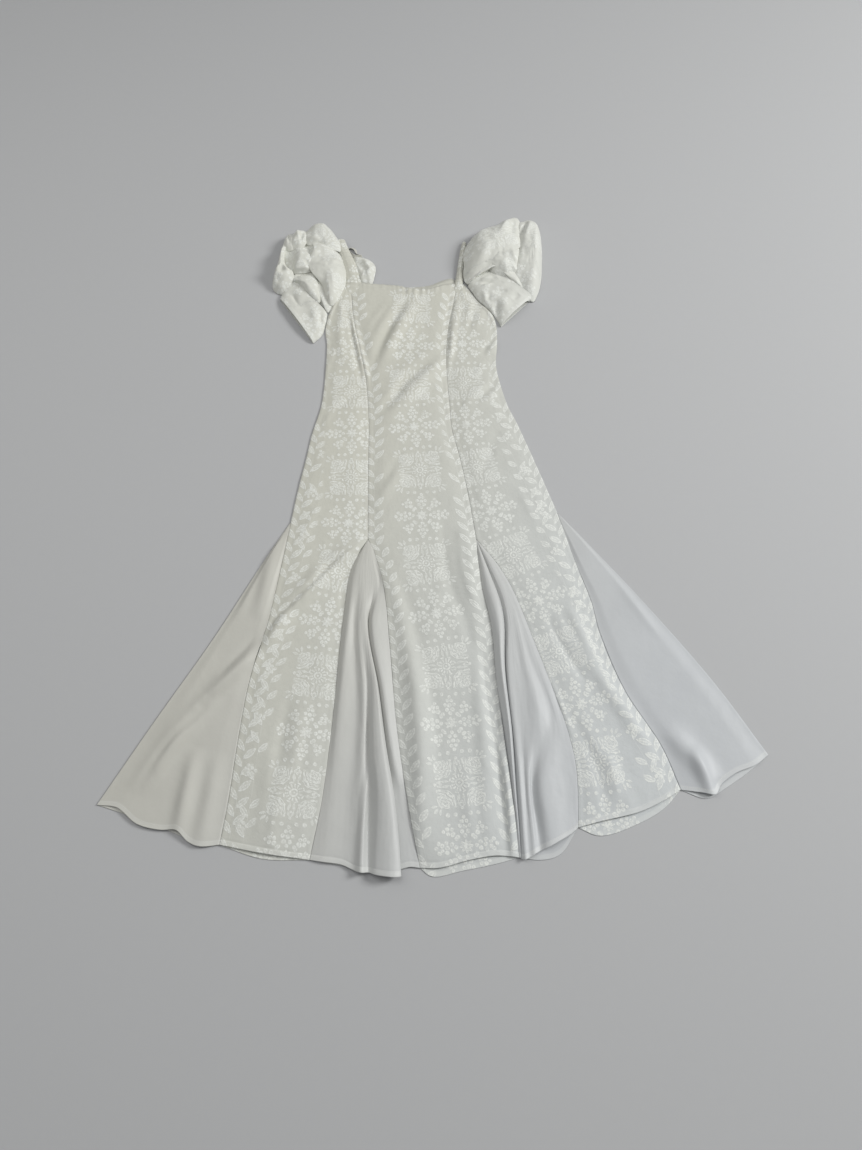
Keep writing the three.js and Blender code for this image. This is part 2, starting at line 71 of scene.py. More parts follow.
# Seams, hem to top, each in a low part beside a godet and a top part. Columns: y, x.
PRINCESS_LEFT_TOP = [(26, -127), (118, -130), (210, -132), (291, -133), (370, -138), (424, -144),
                     (507, -160), (594, -177), (700, -188)]
PRINCESS_RIGHT_TOP = [(26, 91), (107, 80), (166, 71), (228, 59), (291, 45), (343, 41), (410, 37),
                      (479, 34), (564, 39), (638, 51), (700, 62)]
SEAMS = {
    "side_left": {
        "low": [(-567, -365), (-490, -357), (-365, -349), (-269, -339), (-169, -317), (-41, -298),
                (67, -285)],
        "top": [(67, -285), (130, -277), (226, -262), (276, -255), (357, -238), (451, -234),
                (521, -235), (564, -240), (623, -231), (674, -212), (700, -198)],
    },
    "side_right": {
        "low": [(-473, 442), (-392, 415), (-293, 361), (-179, 324), (-106, 311), (-24, 287), (88, 258)],
        "top": [(88, 258), (186, 226), (307, 185), (349, 168), (413, 152), (462, 145), (521, 149),
                (572, 149), (608, 140), (647, 109), (683, 87), (703, 74)],
    },
    "left_outer": {
        "low": [(-592, -208), (-490, -192), (-346, -180), (-210, -173), (-106, -166), (-52, -160),
                (-10, -146), (26, -127)],
        "top": PRINCESS_LEFT_TOP,
    },
    "left_inner": {
        "low": [(-605, -19), (-499, -40), (-365, -62), (-210, -78), (-85, -92), (-1, -114), (26, -127)],
        "top": PRINCESS_LEFT_TOP,
    },
    "right_inner": {
        "low": [(-588, 151), (-511, 146), (-390, 134), (-261, 122), (-161, 116), (-74, 100), (26, 91)],
        "top": PRINCESS_RIGHT_TOP,
    },
    "right_outer": {
        "low": [(-538, 256), (-441, 260), (-376, 251), (-295, 229), (-204, 200), (-93, 163), (-32, 133),
                (26, 91)],
        "top": PRINCESS_RIGHT_TOP,
    },
}

# Free outer folds of the side godets, hem to top. Columns: y, x.
OUTER_FOLDS = {
    "left": [(-499, -588), (-346, -505), (-189, -417), (-19, -331), (67, -285)],
    "right": [(-411, 608), (-269, 525), (-106, 410), (35, 301), (88, 258)],
}

# Points of the free edges between the seams, left to right. Columns: x, y.
EDGES = {
    "neck_front": [(-138, 696), (-73, 689), (-49, 680), (-2, 683), (38, 696)],
    "neck_back": [(-120, 694), (-54, 690), (-2, 696), (21, 708), (40, 716), (53, 716)],
    "hem_centre": [(15, -605), (67, -592), (113, -585)],
    "hem_side_left": [(-286, -582)],
    "hem_side_right": [(295, -528), (367, -511), (419, -487)],
    "hem_godet_left": [(-399, -570), (-420, -562), (-442, -543), (-472, -542), (-513, -532),
                       (-552, -504)],
    "hem_godet_right": [(476, -478), (502, -482), (515, -464), (544, -444), (582, -429)],
    "back_hem_centre": [(2, -619), (53, -610), (113, -598)],
    "back_hem_side_left": [(-290, -590)],
    "back_hem_side_right": [(293, -552), (365, -530), (410, -505)],
    "back_hem_godet_left": [(-410, -560), (-470, -538), (-540, -514)],
    "back_hem_godet_right": [(487, -488), (520, -472), (570, -440)],
    "back_hem_inset_left": [(-139, -602), (-60, -598)],
    "back_hem_inset_right": [(190, -592), (222, -583)],
}

# Soft ridges of the front. Columns: x and y of the start, x and y of the end, half width, height.
RIDGES = [
    (-36, 652, -118, 462, 17, 6.2),
    (48, 521, -104, 308, 19, 7),
    (-62, 186, -124, 98, 16, 5),
    (124, 400, 66, 355, 11, 5),
    (150, 528, 128, 490, 9, 4),
    (66, 660, 38, 440, 7, 3.5),
    (-182, 600, -139, 405, 9, 2.5),
    (-128, 30, -205, -37, 15, 7),
    (-200, -30, -270, -125, 20, 9),
    (-262, -110, -325, -215, 16, 7),
    (-277, -400, -282, -590, 20, 6),
    (-322, -205, -425, -315, 18, 7),
    (-415, -300, -525, -475, 18, 7),
    (-308, 30, -334, -150, 14, 6),
    (-440, -575, -424, -400, 14, 8),
    (-398, -585, -382, -410, 15, 5),
    (262, -110, 312, -250, 12, 4),
    (305, -235, 402, -415, 16, 5),
    (424, -360, 510, -460, 18, 7),
    (500, -500, 470, -400, 12, 8),
    (-30, -190, -4, -600, 30, 8),
    (122, -290, 146, -600, 14, 6),
    (70, 60, 88, -120, 14, 5),
    (-52, 698, -50, 664, 5, 2.2),
    (-40, 695, -38, 650, 5, 2.6),
    (10, 696, 12, 668, 5, 1.4),
]

# Finer creases of the front, in the same columns.
FINE_CREASES = [
    (-96, 650, -150, 560, 7, 1.6),
    (-20, 600, -70, 500, 8, 1.5),
    (-66, 420, -122, 345, 7, 1.8),
    (24, 468, -30, 402, 8, 1.6),
    (120, 470, 92, 420, 6, 1.5),
    (-214, 520, -232, 440, 6, 1.2),
    (-206, 350, -232, 300, 7, 1.4),
    (20, 60, -60, -20, 9, 1.2),
    (176, 150, 214, 60, 9, 1.5),
    (-230, 110, -262, 20, 8, 1.3),
    (128, 640, 100, 560, 6, 1.8),
    (96, 655, 80, 600, 5, 1.5),
    (-214, 655, -200, 580, 6, 1.6),
    (24, -60, -8, -180, 12, 1.5),
    (216, -260, 262, -380, 9, 1.8),
    (318, -400, 330, -500, 10, 2.2),
    (-236, -330, -246, -470, 11, 1.8),
    (-340, -40, -372, -150, 9, 1.6),
    (-446, -360, -500, -470, 10, 1.8),
    (360, -60, 440, -190, 10, 1.6),
    (60, -420, 74, -590, 12, 2.2),
]

# Long creases of the front: points on a line, half width, and height, which is a depth where it is
# negative. Columns of a point: x, y.
LONG_CREASES = [
    ([(-48, 655), (-79, 599), (-104, 538), (-124, 473), (-140, 428)], 10, -4.0),
    ([(-70, 662), (-100, 600), (-126, 540), (-142, 480)], 11, 2.6),
    ([(-26, 640), (-58, 590), (-84, 530), (-104, 466)], 12, 2.2),
    ([(40, 512), (-1, 467), (-52, 415), (-84, 363), (-122, 312)], 11, -4.0),
    ([(18, 526), (-24, 482), (-74, 430), (-106, 380)], 13, 2.6),
    ([(46, 476), (12, 436), (-36, 384), (-70, 332)], 12, 2.2),
    ([(148, 420), (110, 381), (58, 361)], 9, -4.2),
    ([(150, 402), (112, 360), (68, 344)], 9, 2.6),
    ([(150, 548), (128, 520), (114, 488)], 6, -2.2),
    ([(112, 655), (96, 600), (84, 556)], 6, -2.0),
    ([(47, 668), (39, 600), (33, 530), (31, 473), (38, 400)], 5, -1.5),
    ([(60, 662), (50, 600), (45, 530), (44, 473)], 6, 2.6),
    ([(-192, 620), (-188, 594), (-174, 516), (-160, 443), (-152, 410)], 6, -2.4),
    ([(-180, 590), (-167, 535), (-151, 470), (-137, 416)], 4.5, 4.4),
    ([(-208, 610), (-206, 540), (-196, 470)], 9, 2.2),
    ([(-238, 570), (-228, 620), (-209, 672), (-194, 702)], 4, 3.0),
    ([(78, 700), (104, 655), (133, 612), (147, 570)], 4, 2.8),
    ([(-220, 330), (-186, 360), (-150, 398)], 9, -2.0),
    ([(-126, 34), (-146, 19), (-203, -35), (-228, -70), (-274, -119), (-303, -153), (-326, -196)], 6, -3.6),
    ([(-124, 20), (-185, -36), (-217, -76), (-259, -122), (-293, -167), (-320, -220)], 9, 4.2),
    ([(-136, 8), (-160, -30), (-170, -85), (-172, -140)], 5, -3.0),
    ([(-322, -190), (-339, -223), (-375, -268), (-440, -330)], 11, 4.5),
    ([(-400, -295), (-429, -337), (-456, -368), (-480, -400), (-503, -439), (-523, -474)], 9, -3.4),
    ([(-391, -303), (-420, -345), (-447, -376), (-471, -408), (-494, -447)], 12, 3.2),
    ([(-330, -178), (-352, -208), (-396, -262)], 8, -2.4),
    ([(-262, -300), (-276, -423), (-285, -523), (-286, -590)], 11, -3.0),
    ([(-236, -300), (-250, -423), (-256, -540)], 14, 2.6),
    ([(-96, -30), (-72, -95), (-48, -181), (-22, -360), (-18, -523), (-20, -600)], 15, 4.6),
    ([(-60, -50), (-34, -150), (6, -340), (14, -520)], 13, -2.6),
    ([(96, -190), (104, -260), (120, -382), (129, -512), (132, -600)], 11, -6.0),
    ([(78, -150), (88, -280), (96, -400), (98, -590)], 13, 3.4),
    ([(26, 80), (30, -40), (74, -180), (92, -300)], 12, -2.8),
    ([(58, 60), (62, -40), (100, -150)], 9, 2.2),
    ([(236, -125), (270, -195), (311, -263), (350, -340)], 10, 1.4),
    ([(222, -140), (252, -208), (292, -280)], 8, -2.4),
    ([(280, -360), (330, -450), (352, -510)], 13, 1.6),
    ([(255, -330), (292, -420), (310, -515)], 10, -2.2),
    ([(118, -360), (134, -470), (141, -600)], 6, 4.5),
    ([(-60, 240), (-90, 170), (-118, 110)], 9, -1.8),
    ([(150, 300), (120, 220), (96, 150)], 10, -1.6),
]

# Fold lines of the front godets at some levels, each from the left seam to the right one. A level
# is the share of the way from the godet's top down to its hem. Columns of a fold line: place
# across the opening, height above cloth that lies flat there. The drops are how far each fold line
# hangs below the hem's own line.
FRONT_FOLDS = {
    "left": {
        "levels": [
            (0.0, [(0, 0), (0.15, 0), (0.3, 0), (0.4, 0), (0.47, 0), (0.53, 0), (0.6, 0), (0.68, 0),
                   (0.75, 0), (0.82, 0), (0.9, 0), (1, 0)]),
            (0.06, [(0, 0.3), (0.15, 4), (0.3, 5), (0.4, 5), (0.47, 5), (0.53, 5), (0.6, 4.5), (0.68, 4),
                    (0.75, 3.5), (0.82, 3), (0.9, 1.6), (1, 0.3)]),
            (0.15, [(0, 0.5), (0.15, 6.5), (0.3, 7.5), (0.4, 7.5), (0.47, 7), (0.53, 6.5), (0.6, 5.5),
                    (0.68, 4.5), (0.75, 3.5), (0.83, 2.5), (0.91, 0.4), (1, 2)]),
            (0.29, [(0, 0.5), (0.13, 8), (0.25, 4), (0.36, 7.5), (0.43, 8.5), (0.49, 8), (0.53, 6.5),
                    (0.555, 4), (0.575, 1), (0.6, 4), (0.7, 10), (1, 1)]),
            (0.5, [(0, 0.5), (0.12, 7.5), (0.34, 2), (0.48, 7.5), (0.55, 5), (0.6, 8), (0.66, 12),
                   (0.715, 12.5), (0.738, 7), (0.738, 1), (0.83, 10), (1, 1)]),
            (0.72, [(0, 0), (0.12, 5), (0.33, 1.5), (0.46, 6), (0.525, 2.5), (0.57, 7), (0.66, 15),
                    (0.77, 17), (0.83, 10), (0.82, 1), (0.9, 7), (1, 1)]),
            (0.82, [(0, 0), (0.12, 3.5), (0.3, 1.5), (0.42, 5), (0.5, 9), (0.55, 2.5), (0.66, 15),
                    (0.78, 18), (0.85, 11), (0.83, 2), (0.93, 0.5), (1, 0)]),
            (1.0, [(0, 0), (0.12, 2.5), (0.28, 1.5), (0.4, 4), (0.475, 13), (0.545, 4), (0.62, 13),
                   (0.75, 18), (0.83, 11), (0.8, 2), (0.9, 0.5), (1, 0)]),
        ],
        "drops": (0, 2, 4, 12, 16, 14, 18, 20, 17, 8, 0, 0),
    },
    "right": {
        "levels": [
            (0.0, [(0, 0), (0.1, 0), (0.2, 0), (0.3, 0), (0.4, 0), (0.5, 0), (0.58, 0), (0.66, 0),
                   (0.74, 0), (0.83, 0), (0.92, 0), (1, 0)]),
            (0.07, [(0, 0.5), (0.12, 4), (0.22, 5), (0.34, 3.5), (0.42, 0.8), (0.5, 3.5), (0.58, 4.5),
                    (0.66, 4.5), (0.74, 4), (0.83, 3), (0.92, 2), (1, 0.5)]),
            (0.23, [(0, 0.5), (0.1, 7), (0.24, 10), (0.38, 7), (0.47, 0.5), (0.55, 5), (0.6, 6),
                    (0.68, 6), (0.76, 5), (0.84, 4), (0.92, 3), (1, 1)]),
            (0.43, [(0, 0.5), (0.06, 7), (0.13, 12), (0.2, 8), (0.235, 0.5), (0.28, 9), (0.4, 8.5),
                    (0.53, 7), (0.65, 8), (0.77, 5), (0.9, 3.5), (1, 1)]),
            (0.64, [(0, 0.5), (0.05, 8), (0.09, 13), (0.125, 8), (0.14, 0.5), (0.18, 9), (0.3, 8),
                    (0.42, 9), (0.6, 11), (0.8, 4), (0.9, 3.5), (1, 1)]),
            (0.82, [(0, 1), (0.02, 5), (0.04, 8), (0.06, 5), (0.075, 0.5), (0.12, 8), (0.19, 5),
                    (0.25, 7.5), (0.32, 2), (0.48, 11), (0.82, 3), (1, 1)]),
            (1.0, [(0, 0), (0.01, 1), (0.02, 1.5), (0.03, 1), (0.045, 0.5), (0.1, 7), (0.18, 5),
                   (0.26, 6.5), (0.36, 2.5), (0.53, 9), (0.85, 3), (1, 0)]),
        ],
        "drops": (0, 1, 2, 3, 5, 9, 9, 8, 7, 8, 5, 0),
    },
}

# Middle lines of the print's columns of medallions, hem to top, and the height of one rose
# medallion in each. Columns: y, x.
PRINT_COLUMNS = {
    "centre": [(-640, 68), (-569, 61), (-470, 51), (-355, 36), (-246, 29), (-135, 10), (-30, -10),
               (81, -19), (194, -24), (310, -38), (414, -48), (521, -46), (720, -44)],
    "left": [(-610, -252), (-487, -243), (-376, -228), (-263, -212), (-152, -199), (-50, -184),
             (53, -168), (230, -168), (400, -173), (560, -172), (720, -166)],
    "right": [(-560, 310), (-421, 298), (-314, 276), (-214, 243), (-102, 206), (-6, 162), (95, 121),
              (203, 93), (304, 75), (424, 71), (550, 70), (720, 72)],
}
ROSE_AT = {"centre": -30, "left": -263, "right": -214}
COLUMN_POINTS = 600


class MuumuuSizes(bpy.types.PropertyGroup):
    """Sizes that a user of the garment would change."""

    crease_share: bpy.props.FloatProperty(
        name="Fine creases", description="Height of the finer creases, as a share of what is drawn",
        default=1.0, min=0.0, max=2.0, subtype="FACTOR")
    hem_depth: bpy.props.FloatProperty(
        name="Hem depth", description="Depth of the turned-up hem",
        default=0.009, min=0.004, max=0.02, unit="LENGTH")
    stitch_pitch: bpy.props.FloatProperty(
        name="Stitch pitch", description="Distance from one stitch to the next",
        default=0.0034, min=0.002, max=0.006, unit="LENGTH")
    stitch_width: bpy.props.FloatProperty(
        name="Stitch width", description="Thickness of the sewing thread",
        default=0.0005, min=0.0002, max=0.001, unit="LENGTH")
    crumple: bpy.props.FloatProperty(
        name="Sleeve crumple", description="Height of the small unevenness of the sleeves' cloth",
        default=0.0014, min=0.0, max=0.004, unit="LENGTH")


class MuumuuColours(bpy.types.PropertyGroup):
    """Colours of the garment and of what it lies on."""

    ground: bpy.props.FloatVectorProperty(
        name="Cloth", description="Off-white ground of the printed cloth",
        default=(0.575, 0.59, 0.56), min=0.0, max=1.0, size=3, subtype="COLOR")
    blossom: bpy.props.FloatVectorProperty(
        name="Print", description="Brighter white of the print",
        default=(0.78, 0.795, 0.755), min=0.0, max=1.0, size=3, subtype="COLOR")
    satin: bpy.props.FloatVectorProperty(
        name="Satin", description="Plain cloth of the godets",
        default=(0.535, 0.545, 0.53), min=0.0, max=1.0, size=3, subtype="COLOR")
    thread: bpy.props.FloatVectorProperty(
        name="Thread", description="Sewing thread",
        default=(0.74, 0.745, 0.72), min=0.0, max=1.0, size=3, subtype="COLOR")
    floor: bpy.props.FloatVectorProperty(
        name="Floor", description="Surface that the garment lies on",
        default=(0.47, 0.475, 0.48), min=0.0, max=1.0, size=3, subtype="COLOR")


# Curves and tables

# Points between two rows of a curve, and points of a long crease's line.
SPLINE_STEPS = 24
CREASE_POINTS = 16


def smooth(t):
    """A share from 0 to 1 with a soft start and end."""
    return t * t * (3 - 2 * t)


def unit_share(t):
    """A number held between 0 and 1."""
    return np.clip(t, 0.0, 1.0)


def bell(value, middle, half_width):
    """1 at the middle of a soft bump, falling to 0 on both sides of it."""
    return np.exp(-((value - middle) / half_width) ** 2)


def on_rows(first, second, place):
    """Rows of numbers at places among the places of known rows, on smooth curves."""
    slope = np.empty_like(second)
    slope[1:-1] = ((second[2:] - second[:-2]).T / (first[2:] - first[:-2])).T
    slope[0] = (second[1] - second[0]) / (first[1] - first[0])
    slope[-1] = (second[-1] - second[-2]) / (first[-1] - first[-2])
    i = np.clip(np.searchsorted(first, place, side="left") - 1, 0, len(first) - 2)
    step = first[i + 1] - first[i]
    t = (place - first[i]) / step
    if second.ndim > 1:
        step, t = step[..., None], t[..., None]
    y0, y1 = second[i], second[i + 1]
    bend0, bend1 = slope[i] * step, slope[i + 1] * step
    return y0 + t * (bend0 + t * (3 * (y1 - y0) - 2 * bend0 - bend1
                                  + t * (2 * (y0 - y1) + bend0 + bend1)))


def on_table(table, place):
    """Second column of a table at places in its first one, on a smooth curve."""
    first, second = np.array(table, float).T
    return on_rows(first, second, place)


def spline(rows, closed=False, even=True):
    """Points on a smooth curve through rows, for shares from 0 to 1: even by length, or by row."""
    rows = np.array(rows, float)
    if closed:
        padded = np.vstack([rows[-1], rows, rows[0], rows[1]])
    else:
        padded = np.vstack([2 * rows[0] - rows[1], rows, 2 * rows[-1] - rows[-2]])
    samples = []
    for p0, p1, p2, p3 in zip(padded, padded[1:], padded[2:], padded[3:]):
        gaps = [max(np.linalg.norm(b - a), 1e-6) ** 0.5 for a, b in ((p0, p1), (p1, p2), (p2, p3))]
        if not even:
            gaps = [1.0, 1.0, 1.0]
        out = ((p1 - p0) / gaps[0] - (p2 - p0) / (gaps[0] + gaps[1]) + (p2 - p1) / gaps[1]) * gaps[1]
        into = ((p2 - p1) / gaps[1] - (p3 - p1) / (gaps[1] + gaps[2]) + (p3 - p2) / gaps[2]) * gaps[1]
        t = np.linspace(0, 1, SPLINE_STEPS, endpoint=False)[:, None]
        samples.append(p1 + t * (out + t * (3 * (p2 - p1) - 2 * out - into
                                            + t * (2 * (p1 - p2) + out + into))))
    samples.append((rows[0] if closed else rows[-1])[None, :])
    points = np.vstack(samples)
    if even:
        steps = np.linalg.norm(np.diff(points, axis=0), axis=1)
        place = np.concatenate([[0], np.cumsum(steps)])
        place /= place[-1]
    else:
        place = np.linspace(0, 1, len(points))

    def at(t):
        return np.stack([np.interp(t, place, column) for column in points.T], axis=-1)

    return at


def seam_point(seam, v):
    """Place on a seam, v from 0 at the hem to 1 at the top, with APEX at the top of its godet."""
    low, top = SEAMS[seam]["low"], SEAMS[seam]["top"]
    v = np.asarray(v, float)
    y_low = low[0][0] + (low[-1][0] - low[0][0]) * v / APEX
    y_top = top[0][0] + (top[-1][0] - top[0][0]) * (v - APEX) / (1 - APEX)
    y = np.where(v < APEX, y_low, y_top)
    x = np.where(v < APEX, on_table(low, y_low), on_table(top, y_top))
    return np.stack([x, y], axis=-1)


def beside_seam(seam, side):
    """A seam moved half a seam gap to one side: side is 1 towards +X and -1 towards -X."""
    def at(v):
        v = np.asarray(v, float)
        point = seam_point(seam, v)
        run = seam_point(seam, np.minimum(v + 0.01, 1)) - seam_point(seam, np.maximum(v - 0.01, 0))
        widening = np.hypot(run[..., 0], run[..., 1]) / np.abs(run[..., 1])
        return np.stack([point[..., 0] + side * SEAM_GAP / 2 * widening, point[..., 1]], axis=-1)

    return at


def patch(left, right, hem=(), top=(), top_row=1.0):
    """Plan of a panel between its left and right seams, its hem and its top edge."""
    def ends(row):
        return [tuple(left(row))], [tuple(right(row))]

    first, last = ends(0.0)
    hem_curve = spline(first + list(hem) + last)
    first, last = ends(top_row)
    top_curve = spline(first + list(top) + last)

    def at(u, v):
        u = np.asarray(u, float)[..., None]

        def between_sides(row):
            return left(row) * (1 - u) + right(row) * u

        rise = np.asarray(v, float)[..., None] / top_row
        hem_pull = hem_curve(u[..., 0]) - between_sides(0.0)
        top_pull = top_curve(u[..., 0]) - between_sides(top_row)
        return between_sides(v) + (1 - rise) * hem_pull + rise * top_pull

    return at


def ridge_height(table, x, y):
    """Height of a table's soft ridges at places in the plan."""
    lift = np.zeros_like(x)
    for x0, y0, x1, y1, half_width, height in table:
        dx, dy = x1 - x0, y1 - y0
        t = unit_share(((x - x0) * dx + (y - y0) * dy) / (dx * dx + dy * dy))
        away = np.hypot(x - x0 - t * dx, y - y0 - t * dy)
        lift += height * np.sin(math.pi * t) ** 0.7 * bell(away, 0, half_width)
    return lift


def crease_height(table, x, y):
    """Height of a table's long creases at places in the plan."""
    lift = np.zeros_like(x)
    for points, half_width, height in table:
        line = spline(points)(np.linspace(0, 1, CREASE_POINTS))
        runs = np.linalg.norm(np.diff(line, axis=0), axis=1)
        starts = np.concatenate([[0], np.cumsum(runs)])
        nearest = np.full_like(x, 1e6)
        place = np.zeros_like(x)
        for (x0, y0), (x1, y1), run, start in zip(line, line[1:], runs, starts):
            t = unit_share(((x - x0) * (x1 - x0) + (y - y0) * (y1 - y0)) / (run * run))
            away = np.hypot(x - x0 - t * (x1 - x0), y - y0 - t * (y1 - y0))
            place = np.where(away < nearest, start + t * run, place)
            nearest = np.minimum(away, nearest)
        along = np.sin(math.pi * unit_share(place / starts[-1])) ** 0.6
        lift += height * along * bell(nearest, 0, half_width)
    return lift


def crumple(x, y, size, seed=0.0):
    """Smooth unevenness from -1 to 1 over places in the plan, about size across."""
    flat = np.stack([x.ravel(), y.ravel()], axis=-1) / size
    values = [noise.noise(Vector((a, b, seed))) for a, b in flat]
    return np.array(values).reshape(x.shape)


# Meshes

# Rows of a panel in and just above its turned-up hem, and where its even rows start, in hem depths.
HEM_ROWS = (0, 0.12, 0.3, 0.55, 0.8, 0.95, 1.05, 1.2, 1.6, 2.2)
EVEN_ROWS_FROM = 3

# Rows of a panel's grid that carry stitches: just inside the turned-up hem, and under the neck edge.
HEM_STITCH_ROW = 4
NECK_STITCH_ROW = -3

# Place on a map for cloth that has no print of its kind.
FAR_OFF = 900.0


def rows_with_hem(steps, top, hem_depth):
    """Rows of a panel, closer together in its turned-up hem."""
    turned = np.array(HEM_ROWS) * hem_depth / PANEL_LENGTH
    return np.concatenate([turned, np.linspace(EVEN_ROWS_FROM * hem_depth / PANEL_LENGTH, top, steps)])


def along_rows(points):
    """Length along a grid of plan points from its first row, in each column."""
    steps = np.linalg.norm(np.diff(points, axis=0), axis=-1)
    return np.vstack([np.zeros((1, points.shape[1])), np.cumsum(steps, axis=0)])


def on_column(name, x, y):
    """Place beside a column of the print: off to its right, and along it from a rose medallion."""
    table = PRINT_COLUMNS[name]
    heights = np.linspace(table[0][0], table[-1][0], COLUMN_POINTS)
    line = np.stack([on_table(table, heights), heights], axis=-1)
    runs = np.concatenate([[0], np.cumsum(np.linalg.norm(np.diff(line, axis=0), axis=1))])
    runs -= np.interp(ROSE_AT[name], heights, runs)
    slope = np.gradient(line[:, 0], line[:, 1])
    lean = np.interp(y, heights, slope)
    off = (x - np.interp(y, heights, line[:, 0])) / np.sqrt(1 + lean * lean)
    level = y + off * lean / np.sqrt(1 + lean * lean)
    return off, np.interp(level, heights, runs)


class Sheets:
    """Open sheets of cloth gathered for one piece, each a grid of points with its maps."""

    def __init__(self):
        self.points = []
        self.faces = []
        self.maps = {"print": [], "vine": [], "band": []}
        # Per point, how much whiter the cloth looks: from extra layers, and from painted highlight on hems
        # and edges.
        self.layers_and_highlight = []
        self.count = 0

    def add(self, grid, maps=None, layers_and_highlight=None, around=False, flip=False):
        """Add a grid [row, column, xyz]; around joins its last column to its first one."""
        rows, columns = grid.shape[:2]
        index = np.arange(rows * columns).reshape(rows, columns) + self.count
        if around:
            index = np.hstack([index, index[:, :1]])
        corners = [index[:-1, :-1], index[:-1, 1:], index[1:, 1:], index[1:, :-1]]
        if flip:
            corners.reverse()
        self.faces.append(np.stack([corner.ravel() for corner in corners], axis=-1))
        self.points.append(grid.reshape(-1, 3))
        maps = maps or {}
        for name, stored in self.maps.items():
            far = np.full((rows * columns, 2), FAR_OFF)
            stored.append(maps[name].reshape(-1, 2) if name in maps else far)
        edge = np.zeros((rows, columns)) if layers_and_highlight is None else layers_and_highlight
        self.layers_and_highlight.append(np.broadcast_to(edge, (rows, columns)).reshape(-1))
        self.count += rows * columns

    def piece(self, name, material, thickness, offset=0.0):
        """Finish the sheets as one mesh object with a real thickness."""
        points = np.vstack(self.points) * MM
        faces = np.vstack(self.faces)
        mesh = bpy.data.meshes.new(name)
        mesh.from_pydata(points.tolist(), [], faces.tolist())
        corners = faces.ravel()
        for map_name, stored in self.maps.items():
            layer = mesh.uv_layers.new(name=map_name)
            layer.data.foreach_set("uv", (np.vstack(stored)[corners] * MM).ravel())
        attribute = mesh.attributes.new("layers_and_highlight", "FLOAT", "POINT")
        attribute.data.foreach_set("value", np.concatenate(self.layers_and_highlight))
        form = bmesh.new()
        form.from_mesh(mesh)
        bmesh.ops.remove_doubles(form, verts=form.verts, dist=SAME_POINT)
        form.to_mesh(mesh)
        form.free()
        return finish_cloth(name, mesh, material, thickness, offset)


def finish_cloth(name, mesh, material, thickness, offset):
    """Give a sheet its thickness and its material, as a plain mesh object at the origin."""
    piece = bpy.data.objects.new(name, mesh)
    bpy.context.scene.collection.objects.link(piece)
    wall = piece.modifiers.new("thickness", "SOLIDIFY")
    wall.thickness = thickness * MM
    wall.offset = offset
    bake_modifiers(piece)
    piece.data.materials.clear()
    piece.data.materials.append(material)
    piece.data.shade_smooth()
    return piece


def bake_modifiers(piece):
    """Replace a piece's mesh by what its modifiers make of it, and remove them."""
    depsgraph = bpy.context.evaluated_depsgraph_get()
    evaluated = piece.evaluated_get(depsgraph)
    baked = bpy.data.meshes.new_from_object(evaluated, preserve_all_data_layers=True, depsgraph=depsgraph)
    old = piece.data
    piece.modifiers.clear()
    piece.data = baked
    bpy.data.meshes.remove(old)
    baked.name = piece.name


def hand_over(piece, node):
    """Give a piece its body and hide the part of its node that it stands in for."""
    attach(piece, BODY)
    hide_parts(node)


# Stitches

# Half length of a stitch as a share of the pitch, and the sides and rings of its round form.
STITCH_FILL = 0.36
STITCH_SIDES = 6
STITCH_RINGS = 4

# The node tree of all stitches, kept here once it is made.
STITCH_TREES = {}


def stitch_tree():
    """Geometry nodes that lay stitches of a given pitch and width along a line of edges."""
    if "made" in STITCH_TREES:
        return STITCH_TREES["made"]
    tree = bpy.data.node_groups.new("stitch_row", "GeometryNodeTree")
    named = {"Geometry": "NodeSocketGeometry", "Pitch": "NodeSocketFloat", "Width": "NodeSocketFloat",
             "Thread": "NodeSocketMaterial"}
    inputs = {name: tree.interface.new_socket(name, in_out="INPUT", socket_type=kind).identifier
              for name, kind in named.items()}
    tree.interface.new_socket("Geometry", in_out="OUTPUT", socket_type="NodeSocketGeometry")

    def node(kind, links, values=None, settings=None):
        made = tree.nodes.new(kind)
        for name, value in (settings or {}).items():
            setattr(made, name, value)
        for key, source in links.items():
            tree.links.new(source, made.inputs[key])
        for key, value in (values or {}).items():
            made.inputs[key].default_value = value
        return made

    enter = node("NodeGroupInput", {}).outputs
    curve = node("GeometryNodeMeshToCurve", {"Mesh": enter["Geometry"]})
    points = node("GeometryNodeCurveToPoints", {"Curve": curve.outputs[0], "Length": enter["Pitch"]},
                  settings={"mode": "LENGTH"})
    grain = node("GeometryNodeMeshUVSphere", {},
                 {"Segments": STITCH_SIDES, "Rings": STITCH_RINGS, "Radius": 1.0})
    half_pitch = node("ShaderNodeMath", {0: enter["Pitch"]}, {1: STITCH_FILL},
                      {"operation": "MULTIPLY"})
    half_width = node("ShaderNodeMath", {0: enter["Width"]}, {1: 0.5}, {"operation": "MULTIPLY"})
    scale = node("ShaderNodeCombineXYZ", {0: half_pitch.outputs[0], 1: half_width.outputs[0],
                                          2: half_width.outputs[0]})
    turn = node("FunctionNodeAlignRotationToVector", {"Vector": points.outputs["Tangent"]},
                settings={"axis": "X"})
    laid = node("GeometryNodeInstanceOnPoints", {"Points": points.outputs["Points"],
                                                 "Instance": grain.outputs["Mesh"],
                                                 "Rotation": turn.outputs[0], "Scale": scale.outputs[0]})
    real = node("GeometryNodeRealizeInstances", {0: laid.outputs[0]})
    dyed = node("GeometryNodeSetMaterial", {"Geometry": real.outputs[0], "Material": enter["Thread"]})
    node("NodeGroupOutput", {0: dyed.outputs[0]})
    STITCH_TREES["made"] = (tree, inputs)
    return STITCH_TREES["made"]


